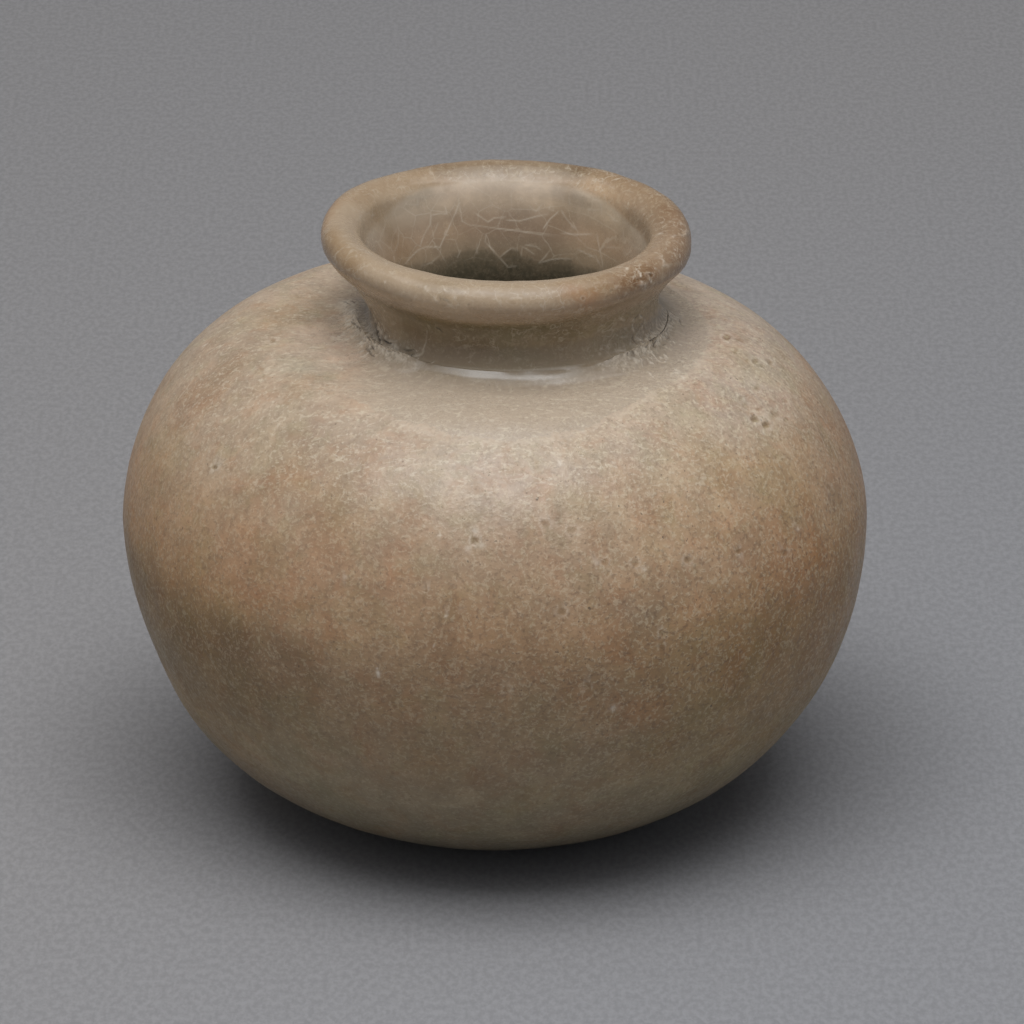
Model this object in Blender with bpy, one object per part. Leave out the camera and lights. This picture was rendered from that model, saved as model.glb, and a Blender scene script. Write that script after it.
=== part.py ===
"""Small globular stoneware jar with a short neck and a rolled lip, as one hollow solid.

Metres, +Z up. The origin is the centre of the flat underside. The belly is a squat
round body turned from two superellipse arcs. The neck was made apart and set on
slightly off the belly's axis, and the lip lies a degree out of level, so the turned
form is shifted and tilted a little from ring to ring, as it is on the real jar.
"""

import math

import bmesh
import bpy

MM = 0.001

# Overall sizes
HEIGHT = 73.55 * MM  # underside to the crest of the lip, before the lip's tilt
BELLY_RADIUS = 45.0 * MM
BELLY_HEIGHT = 36.5 * MM  # height of the widest ring

# Outer belly: superellipse arcs below and above the widest ring
LOWER_DEPTH = 38.1 * MM  # the arc would close here, and the flat underside cuts it short
LOWER_ROUND, LOWER_FALL = 2.64, 2.02
UPPER_RISE = 26.1 * MM
UPPER_ROUND, UPPER_FALL = 4.0, 1.69
FOOT_EDGE = 0.7 * MM  # softened edge round the underside

# The shoulder sinks a little where the neck was pressed on
SINK = 1.9 * MM
SINK_OUTER_RADIUS = 31.0 * MM
SINK_INNER_RADIUS = 19.5 * MM

# Neck and lip, outside
SHOULDER_RADIUS = 19.7 * MM  # where the shoulder turns up into the neck
NECK_RADIUS = 17.2 * MM
NECK_LOW = 62.2 * MM
NECK_HIGH = 62.6 * MM
FLARE_RADIUS, FLARE_HEIGHT = 18.6 * MM, 66.7 * MM
UNDERLIP_RADIUS, UNDERLIP_HEIGHT = 21.0 * MM, 69.5 * MM
LIP_RADIUS, LIP_HEIGHT = 21.9 * MM, 71.5 * MM
CREST_RADIUS = 20.0 * MM

# Mouth and hollow, inside
MOUTH_RADIUS, MOUTH_HEIGHT = 16.7 * MM, 70.4 * MM
THROAT_RADIUS, THROAT_HEIGHT = 13.7 * MM, 62.0 * MM
VAULT_RADIUS = 17.5 * MM  # where the throat has turned under the shoulder
WALL = 4.6 * MM  # belly wall
VAULT_RISE = 19.9 * MM  # hollow above the widest ring
VAULT_ROUND, VAULT_FALL = 3.6, 1.75
FLOOR = 5.6 * MM  # thickness of the bottom
BOWL_ROUND, BOWL_FALL = 2.6, 2.05

# How the turned rings stray from the belly's axis, all along X
BELLY_LEAN = -0.62 * MM
BELLY_BULGE = 0.24 * MM
NECK_SHIFT_LOW, NECK_SHIFT_HIGH = 2.25 * MM, 1.10 * MM
LIP_TILT = 0.019  # radians, low on the +X side
# Shallow throwing bands on the outside: (height, half width, depth)
BANDS = ((19.5 * MM, 6.5 * MM, -0.24 * MM), (8.5 * MM, 3.5 * MM, 0.14 * MM))

SEGMENTS = 64


def ease(value, start, end):
    """0 at start, 1 at end, with level ends."""
    t = min(max((value - start) / (end - start), 0.0), 1.0)
    return t * t * (3.0 - 2.0 * t)


def curve(start, out_of, end, into, count, reach=0.4, reach_end=None):
    """Points of a smooth curve between two (radius, height) points, leaving and
    arriving along the given directions, without its first point."""
    length = math.dist(start, end)
    lead, trail = math.hypot(*out_of), math.hypot(*into)
    reach_end = reach if reach_end is None else reach_end
    a = [start[i] + out_of[i] / lead * length * reach for i in (0, 1)]
    b = [end[i] - into[i] / trail * length * reach_end for i in (0, 1)]
    points = []
    for k in range(1, count + 1):
        t = k / count
        u = 1.0 - t
        points.append(
            tuple(
                u**3 * start[i] + 3 * u * u * t * a[i] + 3 * u * t * t * b[i] + t**3 * end[i]
                for i in (0, 1)
            )
        )
    return points


def shoulder_height(radius):
    rise = (1.0 - (radius / BELLY_RADIUS) ** UPPER_ROUND) ** (1.0 / UPPER_FALL)
    sink = SINK * ease(radius, SINK_OUTER_RADIUS, SINK_INNER_RADIUS)
    return BELLY_HEIGHT + UPPER_RISE * rise - sink


def vault_height(radius):
    inside = BELLY_RADIUS - WALL
    rise = (1.0 - (radius / inside) ** VAULT_ROUND) ** (1.0 / VAULT_FALL)
    return BELLY_HEIGHT + VAULT_RISE * rise


def outer_profile():
    """(radius, height) points from the centre of the underside to the lip's crest."""
    foot = BELLY_RADIUS * (1.0 - (BELLY_HEIGHT / LOWER_DEPTH) ** LOWER_FALL) ** (1.0 / LOWER_ROUND)
    points = [(0.0, 0.0), (foot - FOOT_EDGE, 0.0)]
    # Lower belly: angle 0 is the widest ring, and the arc starts just above the underside
    last = math.asin(((BELLY_HEIGHT - 0.16 * FOOT_EDGE) / LOWER_DEPTH) ** (LOWER_FALL / 2))
    steps = 15
    for k in range(steps + 1):
        angle = last * (1.0 - k / steps) ** 0.9
        radius = BELLY_RADIUS * math.cos(angle) ** (2.0 / LOWER_ROUND)
        height = BELLY_HEIGHT - LOWER_DEPTH * math.sin(angle) ** (2.0 / LOWER_FALL)
        points.append((radius, height))
    # Upper belly and shoulder
    steps = 14
    for k in range(1, steps + 1):
        radius = BELLY_RADIUS - (BELLY_RADIUS - SHOULDER_RADIUS) * (k / steps) ** 1.6
        points.append((radius, shoulder_height(radius)))
    # Fillet into the neck, flare, underside of the lip, and the lip's roll
    points += curve(points[-1], (-1.0, -0.02), (NECK_RADIUS, NECK_LOW), (0.0, 1.0), 4, 0.45)
    points.append((NECK_RADIUS, NECK_HIGH))
    points += curve(points[-1], (0.0, 1.0), (FLARE_RADIUS, FLARE_HEIGHT), (0.72, 1.0), 3)
    points += curve(points[-1], (0.72, 1.0), (UNDERLIP_RADIUS, UNDERLIP_HEIGHT), (0.8, 1.0), 2, 0.35)
    points += curve(points[-1], (0.8, 1.0), (LIP_RADIUS, LIP_HEIGHT), (0.0, 1.0), 3, 0.45)
    points += curve(points[-1], (0.0, 1.0), (CREST_RADIUS, HEIGHT), (-1.0, 0.0), 4, 0.39)
    return points


def inner_profile():
    """(radius, height) points from just past the lip's crest down to the floor's centre."""
    points = curve((CREST_RADIUS, HEIGHT), (-1.0, 0.0), (MOUTH_RADIUS, MOUTH_HEIGHT), (-0.42, -1.0), 5, 0.42, 0.35)
    points += curve(points[-1], (-0.42, -1.0), (THROAT_RADIUS, THROAT_HEIGHT), (-0.05, -1.0), 3, 0.35)
    points += curve(points[-1], (-0.05, -1.0), (VAULT_RADIUS, vault_height(VAULT_RADIUS)), (1.0, -0.05), 4, 0.45)
    inside = BELLY_RADIUS - WALL
    steps = 7
    for k in range(1, steps + 1):
        radius = VAULT_RADIUS + (inside - VAULT_RADIUS) * (1.0 - (1.0 - k / steps) ** 2)
        points.append((radius, vault_height(radius)))
    steps = 9
    for k in range(1, steps + 1):
        angle = 0.5 * math.pi * k / steps
        radius = inside * max(math.cos(angle), 0.0) ** (2.0 / BOWL_ROUND)
        height = BELLY_HEIGHT - (BELLY_HEIGHT - FLOOR) * math.sin(angle) ** (2.0 / BOWL_FALL)
        points.append((radius if k < steps else 0.0, height))
    return points


def stray(x, y, z, radius, outside):
    """Moves a turned point to where the hand-thrown jar has it."""
    if outside and radius > 24.0 * MM and z < 61.0 * MM:
        push = -0.07 * MM * ease(z, 0.0, 12.0 * MM)
        for height, width, depth in BANDS:
            push += depth * math.exp(-(((z - height) / width) ** 2)) * ease(radius, 24.0 * MM, 30.0 * MM)
        x += push * x / radius
        y += push * y / radius
    belly = BELLY_LEAN * ease(z, 38.0 * MM, 58.0 * MM)
    belly += BELLY_BULGE * math.exp(-(((z - 23.0 * MM) / (8.0 * MM)) ** 2))
    climb = min(max((z - 61.0 * MM) / (HEIGHT - 61.0 * MM), -0.3), 1.0)
    neck = NECK_SHIFT_LOW + (NECK_SHIFT_HIGH - NECK_SHIFT_LOW) * climb
    share = ease(radius, 27.5 * MM, 19.0 * MM) * ease(z, 48.0 * MM, 56.0 * MM)
    if z > 61.0 * MM:
        share = 1.0
    tilt = LIP_TILT * ease(z, 61.0 * MM, 70.0 * MM)
    return x + belly * (1.0 - share) + neck * share, y, z - tilt * x


def clear_scene():
    for item in list(bpy.data.objects):
        bpy.data.objects.remove(item, do_unlink=True)


def stoneware():
    material = bpy.data.materials.new("celadon_stoneware")
    material.use_nodes = True
    shader = material.node_tree.nodes["Principled BSDF"]
    shader.inputs["Base Color"].default_value = (0.352, 0.266, 0.184, 1.0)
    shader.inputs["Roughness"].default_value = 0.45
    shader.inputs["Metallic"].default_value = 0.0
    material.diffuse_color = (0.352, 0.266, 0.184, 1.0)
    return material


def make_jarlet():
    """Spins the closed profile about +Z, then lets each ring stray."""
    outer, inner = outer_profile(), inner_profile()
    bm = bmesh.new()
    outside = bm.verts.layers.int.new("outside")
    chain = []
    for index, (radius, height) in enumerate(outer + inner):
        vert = bm.verts.new((radius, 0.0, height))
        vert[outside] = 1 if index < len(outer) else 0
        chain.append(vert)
    edges = [bm.edges.new(pair) for pair in zip(chain, chain[1:])]
    bmesh.ops.spin(
        bm,
        geom=chain + edges,
        cent=(0.0, 0.0, 0.0),
        axis=(0.0, 0.0, 1.0),
        angle=2.0 * math.pi,
        steps=SEGMENTS,
        use_merge=True,
    )
    bmesh.ops.remove_doubles(bm, verts=bm.verts, dist=1e-6)
    bmesh.ops.dissolve_degenerate(bm, edges=bm.edges, dist=1e-7)
    for vert in bm.verts:
        x, y, z = vert.co
        vert.co = stray(x, y, z, math.hypot(x, y), vert[outside] == 1)
    bmesh.ops.recalc_face_normals(bm, faces=bm.faces)
    mesh = bpy.data.meshes.new("jarlet")
    bm.to_mesh(mesh)
    bm.free()
    mesh.shade_smooth()
    mesh.set_sharp_from_angle(angle=math.radians(50.0))
    mesh.materials.append(stoneware())
    jar = bpy.data.objects.new("jarlet", mesh)
    bpy.context.scene.collection.objects.link(jar)
    return jar


clear_scene()
make_jarlet()
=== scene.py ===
import math

import bmesh
import bpy
import numpy as np
from mathutils import Matrix, Vector, noise
from mathutils.bvhtree import BVHTree


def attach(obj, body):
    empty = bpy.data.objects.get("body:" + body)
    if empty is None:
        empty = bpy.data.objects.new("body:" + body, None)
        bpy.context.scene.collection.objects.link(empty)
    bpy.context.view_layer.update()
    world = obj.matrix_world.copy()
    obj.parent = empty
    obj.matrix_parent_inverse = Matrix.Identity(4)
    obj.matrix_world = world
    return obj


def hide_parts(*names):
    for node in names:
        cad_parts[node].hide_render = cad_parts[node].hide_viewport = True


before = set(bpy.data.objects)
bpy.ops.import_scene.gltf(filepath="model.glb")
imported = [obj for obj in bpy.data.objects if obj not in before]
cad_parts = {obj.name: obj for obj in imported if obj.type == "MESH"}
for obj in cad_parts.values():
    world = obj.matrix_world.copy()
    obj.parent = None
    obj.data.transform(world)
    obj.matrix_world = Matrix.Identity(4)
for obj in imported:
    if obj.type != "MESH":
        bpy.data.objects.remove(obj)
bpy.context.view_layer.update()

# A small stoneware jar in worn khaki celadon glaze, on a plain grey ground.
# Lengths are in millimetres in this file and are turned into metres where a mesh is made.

MM = 0.001

# ---------------------------------------------------------------- camera

PITCH = math.radians(23.5)  # how far the camera looks down
REACH = 800.0  # from the camera to the point that it turns about
FOCAL = 6600.0  # in pixels of a 1024 pixel frame
AIM = Vector((0.0, 0.0, 32.0))
AIM_PIXEL = (495.0, 541.5)  # where the frame shows that point

camera_at = AIM + REACH * Vector((0.0, -math.cos(PITCH), math.sin(PITCH)))


def camera_axes():
    """Right, up and forward, turned from the aim so that it falls on its pixel."""
    forward = Vector((0.0, math.cos(PITCH), -math.sin(PITCH)))
    right = Vector((1.0, 0.0, 0.0))
    up = right.cross(forward)
    look = (forward + right * (512.0 - AIM_PIXEL[0]) / FOCAL - up * (512.0 - AIM_PIXEL[1]) / FOCAL).normalized()
    right = look.cross(Vector((0.0, 0.0, 1.0))).normalized()
    return right, right.cross(look), look


RIGHT, UP, LOOK = camera_axes()


def pixel_ray(px, py):
    return (LOOK + RIGHT * (px - 512.0) / FOCAL - UP * (py - 512.0) / FOCAL).normalized()


def make_camera():
    data = bpy.data.cameras.new("camera")
    data.sensor_width = 36.0
    data.lens = FOCAL * 36.0 / 1024.0
    data.clip_start, data.clip_end = 0.05, 30.0
    item = bpy.data.objects.new("camera", data)
    turn = Matrix((RIGHT, UP, -LOOK)).transposed()
    item.matrix_world = Matrix.Translation(camera_at * MM) @ turn.to_4x4()
    bpy.context.scene.collection.objects.link(item)
    bpy.context.scene.camera = item


# ---------------------------------------------------------------- the turned form, as in the CAD model

HEIGHT = 73.55
BELLY_RADIUS, BELLY_HEIGHT = 45.0, 36.5
LOWER_DEPTH, LOWER_ROUND, LOWER_FALL = 38.1, 2.64, 2.02
UPPER_RISE, UPPER_ROUND, UPPER_FALL = 26.1, 4.0, 1.69
FOOT_EDGE = 0.7
SINK, SINK_OUTER_RADIUS, SINK_INNER_RADIUS = 1.9, 31.0, 19.5
SHOULDER_RADIUS = 19.7
NECK_RADIUS, NECK_LOW, NECK_HIGH = 17.2, 62.2, 62.6
FLARE_RADIUS, FLARE_HEIGHT = 18.6, 66.7
UNDERLIP_RADIUS, UNDERLIP_HEIGHT = 21.0, 69.5
LIP_RADIUS, LIP_HEIGHT, CREST_RADIUS = 21.9, 71.5, 20.0
MOUTH_RADIUS, MOUTH_HEIGHT = 16.7, 70.4
THROAT_RADIUS, THROAT_HEIGHT = 13.7, 62.0
VAULT_RADIUS, WALL = 17.5, 4.6
VAULT_RISE, VAULT_ROUND, VAULT_FALL = 19.9, 3.6, 1.75
FLOOR, BOWL_ROUND, BOWL_FALL = 5.6, 2.6, 2.05
BELLY_LEAN, BELLY_BULGE = -0.62, 0.24
NECK_SHIFT_LOW, NECK_SHIFT_HIGH, LIP_TILT = 2.25, 1.10, 0.019
BANDS = ((19.5, 6.5, -0.24), (8.5, 3.5, 0.14))


def ease(value, start, end):
    """0 at start, 1 at end, with level ends. Takes numbers and arrays."""
    t = np.clip((np.asarray(value, dtype=float) - start) / (end - start), 0.0, 1.0)
    return t * t * (3.0 - 2.0 * t)


def bump(value, middle, width):
    return np.exp(-(((np.asarray(value, dtype=float) - middle) / width) ** 2))


def curve(start, out_of, end, into, reach=0.4, reach_end=None, count=60):
    start, end = np.array(start), np.array(end)
    out_of, into = np.array(out_of) / np.hypot(*out_of), np.array(into) / np.hypot(*into)
    length = np.hypot(*(end - start))
    a = start + out_of * length * reach
    b = end - into * length * (reach if reach_end is None else reach_end)
    t = np.linspace(0.0, 1.0, count + 1)[1:, None]
    u = 1.0 - t
    return u**3 * start + 3 * u * u * t * a + 3 * u * t * t * b + t**3 * end


def shoulder_height(radius):
    rise = (1.0 - (radius / BELLY_RADIUS) ** UPPER_ROUND) ** (1.0 / UPPER_FALL)
    return BELLY_HEIGHT + UPPER_RISE * rise - SINK * ease(radius, SINK_OUTER_RADIUS, SINK_INNER_RADIUS)


def vault_height(radius):
    inside = BELLY_RADIUS - WALL
    return BELLY_HEIGHT + VAULT_RISE * (1.0 - (radius / inside) ** VAULT_ROUND) ** (1.0 / VAULT_FALL)


def outer_profile():
    foot = BELLY_RADIUS * (1.0 - (BELLY_HEIGHT / LOWER_DEPTH) ** LOWER_FALL) ** (1.0 / LOWER_ROUND)
    start = foot - FOOT_EDGE
    flat = np.column_stack([np.linspace(0.0, start, 40), np.zeros(40)])
    last = math.asin(((BELLY_HEIGHT - 0.16 * FOOT_EDGE) / LOWER_DEPTH) ** (LOWER_FALL / 2))
    angle = last * (1.0 - np.linspace(0.0, 1.0, 500)) ** 0.9
    lower = np.column_stack(
        [
            BELLY_RADIUS * np.cos(angle) ** (2.0 / LOWER_ROUND),
            BELLY_HEIGHT - LOWER_DEPTH * np.sin(angle) ** (2.0 / LOWER_FALL),
        ]
    )
    radius = BELLY_RADIUS - (BELLY_RADIUS - SHOULDER_RADIUS) * np.linspace(0.0, 1.0, 500)[1:] ** 1.6
    upper = np.column_stack([radius, shoulder_height(radius)])
    edge = curve(flat[-1], (1.0, 0.0), lower[0], lower[1] - lower[0], 0.4, count=10)
    parts = [flat, edge, lower[1:], upper]
    parts.append(curve(upper[-1], (-1.0, -0.02), (NECK_RADIUS, NECK_LOW), (0.0, 1.0), 0.45))
    parts.append(np.array([[NECK_RADIUS, NECK_HIGH]]))
    parts.append(curve((NECK_RADIUS, NECK_HIGH), (0.0, 1.0), (FLARE_RADIUS, FLARE_HEIGHT), (0.72, 1.0)))
    parts.append(curve((FLARE_RADIUS, FLARE_HEIGHT), (0.72, 1.0), (UNDERLIP_RADIUS, UNDERLIP_HEIGHT), (0.8, 1.0), 0.35))
    parts.append(curve((UNDERLIP_RADIUS, UNDERLIP_HEIGHT), (0.8, 1.0), (LIP_RADIUS, LIP_HEIGHT), (0.0, 1.0), 0.45))
    parts.append(curve((LIP_RADIUS, LIP_HEIGHT), (0.0, 1.0), (CREST_RADIUS, HEIGHT), (-1.0, 0.0), 0.39))
    return np.vstack(parts)


def inner_profile():
    crest, mouth, throat = (CREST_RADIUS, HEIGHT), (MOUTH_RADIUS, MOUTH_HEIGHT), (THROAT_RADIUS, THROAT_HEIGHT)
    vault = (VAULT_RADIUS, vault_height(VAULT_RADIUS))
    parts = [curve(crest, (-1.0, 0.0), mouth, (-0.42, -1.0), 0.42, 0.35)]
    parts.append(curve(mouth, (-0.42, -1.0), throat, (-0.05, -1.0), 0.35))
    parts.append(curve(throat, (-0.05, -1.0), vault, (1.0, -0.05), 0.45))
    inside = BELLY_RADIUS - WALL
    radius = VAULT_RADIUS + (inside - VAULT_RADIUS) * (1.0 - (1.0 - np.linspace(0.0, 1.0, 120)[1:]) ** 2)
    parts.append(np.column_stack([radius, vault_height(radius)]))
    angle = 0.5 * math.pi * np.linspace(0.0, 1.0, 200)[1:]
    radius = inside * np.clip(np.cos(angle), 0.0, 1.0) ** (2.0 / BOWL_ROUND)
    height = BELLY_HEIGHT - (BELLY_HEIGHT - FLOOR) * np.sin(angle) ** (2.0 / BOWL_FALL)
    radius[-1] = 0.0
    parts.append(np.column_stack([radius, height]))
    return np.vstack(parts)


OUTER, INNER = outer_profile(), inner_profile()
PROFILE = np.vstack([OUTER, INNER])
PATH = np.concatenate([[0.0], np.cumsum(np.hypot(*np.diff(PROFILE, axis=0).T))])  # mm along the profile
CREST = PATH[len(OUTER) - 1]


def along(radius=None, height=None, inside=False):
    """The place on the profile, in mm along it, of a radius or a height on its steep stretches."""
    part, path = (INNER, PATH[len(OUTER):]) if inside else (OUTER, PATH[: len(OUTER)])
    gap = np.abs(part[:, 0] - radius) if height is None else np.abs(part[:, 1] - height)
    if radius is not None and height is not None:
        gap = np.hypot(part[:, 0] - radius, part[:, 1] - height)
    return float(path[int(np.argmin(gap))])


FOOT_S = along(radius=17.0, height=0.0)
WIDEST_S = along(radius=BELLY_RADIUS, height=BELLY_HEIGHT)
SHOULDER_S = along(radius=SHOULDER_RADIUS, height=float(shoulder_height(SHOULDER_RADIUS)))
NECK_S = along(radius=NECK_RADIUS, height=NECK_HIGH)
FLARE_S = along(radius=FLARE_RADIUS, height=FLARE_HEIGHT)
LIP_S = along(radius=LIP_RADIUS, height=LIP_HEIGHT)
MOUTH_S = along(radius=MOUTH_RADIUS, height=MOUTH_HEIGHT, inside=True)
THROAT_S = along(radius=THROAT_RADIUS, height=THROAT_HEIGHT, inside=True)
VAULT_S = along(radius=VAULT_RADIUS, height=float(vault_height(VAULT_RADIUS)), inside=True)
END_S = float(PATH[-1])


def stray(x, y, z, radius, outside):
    """Moves turned points to where the hand-thrown jar has them."""
    low = outside & (radius > 24.0) & (z < 61.0)
    push = -0.07 * ease(z, 0.0, 12.0)
    for height, width, depth in BANDS:
        push = push + depth * bump(z, height, width) * ease(radius, 24.0, 30.0)
    push = np.where(low, push, 0.0)
    safe = np.maximum(radius, 1e-6)
    x, y = x + push * x / safe, y + push * y / safe
    belly = BELLY_LEAN * ease(z, 38.0, 58.0) + BELLY_BULGE * bump(z, 23.0, 8.0)
    climb = np.clip((z - 61.0) / (HEIGHT - 61.0), -0.3, 1.0)
    neck = NECK_SHIFT_LOW + (NECK_SHIFT_HIGH - NECK_SHIFT_LOW) * climb
    share = ease(-radius, -27.5, -19.0) * ease(z, 48.0, 56.0)
    share = np.where(z > 61.0, 1.0, share)
    tilt = LIP_TILT * ease(z, 61.0, 70.0)
    return x + belly * (1.0 - share) + neck * share, y, z - tilt * x


def turned(s, a):
    """Points of the strayed turned form at profile places s and azimuths a."""
    radius, height = np.interp(s, PATH, PROFILE[:, 0]), np.interp(s, PATH, PROFILE[:, 1])
    x, y, z = stray(radius * np.cos(a), radius * np.sin(a), height, radius, s <= CREST)
    return np.column_stack([x, y, z])


def facing(place, s, a):
    """Unit normals of a surface given as place(s, a), facing out of the clay."""
    step = 0.05
    ds = place(np.minimum(s + step, END_S), a) - place(np.maximum(s - step, 0.0), a)
    da = place(s, a + 0.002) - place(s, a - 0.002)
    normal = np.cross(da, ds)
    length = np.linalg.norm(normal, axis=1)
    flat = length < 1e-9
    normal[flat] = (0.0, 0.0, 1.0)
    normal[flat & (s < 1.0)] = (0.0, 0.0, -1.0)
    length[flat] = 1.0
    return normal / length[:, None]


# ---------------------------------------------------------------- finding places by a pixel of the frame

FRONT = -0.5 * math.pi  # azimuth that faces the camera


def probe():
    """A plain grid of the turned form, to shoot rays at."""
    rings, columns = 420, 360
    s = np.linspace(FOOT_S, VAULT_S, rings)
    a = np.linspace(0.0, 2.0 * math.pi, columns + 1)[:-1]
    ss, aa = np.meshgrid(s, a, indexing="ij")
    points = turned(ss.ravel(), aa.ravel())
    faces = []
    for i in range(rings - 1):
        for j in range(columns):
            k = (j + 1) % columns
            faces.append((i * columns + j, i * columns + k, (i + 1) * columns + k, (i + 1) * columns + j))
    return BVHTree.FromPolygons([tuple(p) for p in points], faces), points, s, a


TREE, PROBE_POINTS, PROBE_S, PROBE_A = probe()


def at_pixel(px, py, skip=0.0):
    """The first surface point that the camera sees at a pixel: position, place on the profile, azimuth."""
    ray = pixel_ray(px, py)
    hit, _, face, _ = TREE.ray_cast(camera_at + ray * skip, ray)
    if hit is None:
        return None
    columns = len(PROBE_A)
    i, j = divmod(face, columns)
    s, a = float(PROBE_S[i]), float(PROBE_A[j])
    target = np.array(hit)
    for _ in range(6):
        here = turned(np.array([s]), np.array([a]))[0]
        ds = (turned(np.array([s + 0.02]), np.array([a]))[0] - here) / 0.02
        da = (turned(np.array([s]), np.array([a + 0.001]))[0] - here) / 0.001
        step, *_ = np.linalg.lstsq(np.column_stack([ds, da]), target - here, rcond=None)
        s, a = s + float(step[0]), a + float(step[1])
    return target, s, a


# ---------------------------------------------------------------- what is seen where: pixels of the frame

def nearest_on(px, py):
    """The place at a pixel, or where the jar begins between that pixel and its middle."""
    for k in range(24):
        found = at_pixel(px, py)
        if found is not None:
            return found
        toward = (506.0 - px, (240.0 if py < 300.0 else 540.0) - py)
        step = 1.0 / math.hypot(*toward)
        px, py = px + toward[0] * step, py + toward[1] * step
    return None


def trail(pixels, step=3.0):
    """A polyline on the surface through pixels of the frame, as 3D points close together."""
    found = []
    for (x0, y0), (x1, y1) in zip(pixels, pixels[1:]):
        count = max(1, int(math.hypot(x1 - x0, y1 - y0) / step))
        found += [nearest_on(x0 + (x1 - x0) * k / count, y0 + (y1 - y0) * k / count) for k in range(count)]
    found.append(nearest_on(*pixels[-1]))
    found = [item[0] for item in found if item is not None]
    line = [found[0]]
    for point in found[1:]:
        if np.linalg.norm(point - line[-1]) < 4.0:
            line.append(point)
    return np.array(line)


def spot(px, py):
    return nearest_on(px, py)[0]


def distance_to_trail(points, line):
    """Distance of each point to a polyline, and how far along the line it is, 0 to 1."""
    best = np.full(len(points), 1e9)
    place = np.zeros(len(points))
    lengths = np.maximum(np.linalg.norm(np.diff(line, axis=0), axis=1), 1e-6)
    total, done = lengths.sum(), 0.0
    for k, length in enumerate(lengths):
        a, d = line[k], line[k + 1] - line[k]
        t = np.clip(((points - a) @ d) / (length * length), 0.0, 1.0)
        gap = np.linalg.norm(points - (a + t[:, None] * d), axis=1)
        closer = gap < best
        best[closer] = gap[closer]
        place[closer] = (done + t[closer] * length) / total
        done += length
    return best, place


def near_trail(points, line, reach):
    """Which points lie within reach of a polyline, with their distance and their place along it."""
    middle = 0.5 * (line.min(axis=0) + line.max(axis=0))
    size = np.linalg.norm(line - middle, axis=1).max() + reach
    index = np.nonzero(np.abs(points - middle).max(axis=1) < size)[0]
    if len(index) == 0:
        return index, np.zeros(0), np.zeros(0)
    gap, place = distance_to_trail(points[index], line)
    close = gap < reach
    return index[close], gap[close], place[close]


def near_spot(points, middle, reach):
    index = np.nonzero(np.abs(points - middle).max(axis=1) < reach)[0]
    gap = np.linalg.norm(points[index] - middle, axis=1)
    return index[gap < reach], gap[gap < reach]


def noise_at(points, scale, seed=0.0, octaves=1, rough=0.5):
    """Gradient noise, about -1 to 1, with features of about 1/scale mm."""
    shift = Vector((17.3 * seed, -9.1 * seed, 5.7 * seed))
    out = np.empty(len(points))
    if octaves == 1:
        for i, p in enumerate(points):
            out[i] = noise.noise(Vector(p) * scale + shift)
    else:
        for i, p in enumerate(points):
            out[i] = noise.fractal(Vector(p) * scale + shift, 1.0 - rough + 0.5, 2.0, octaves)
    return out


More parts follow.
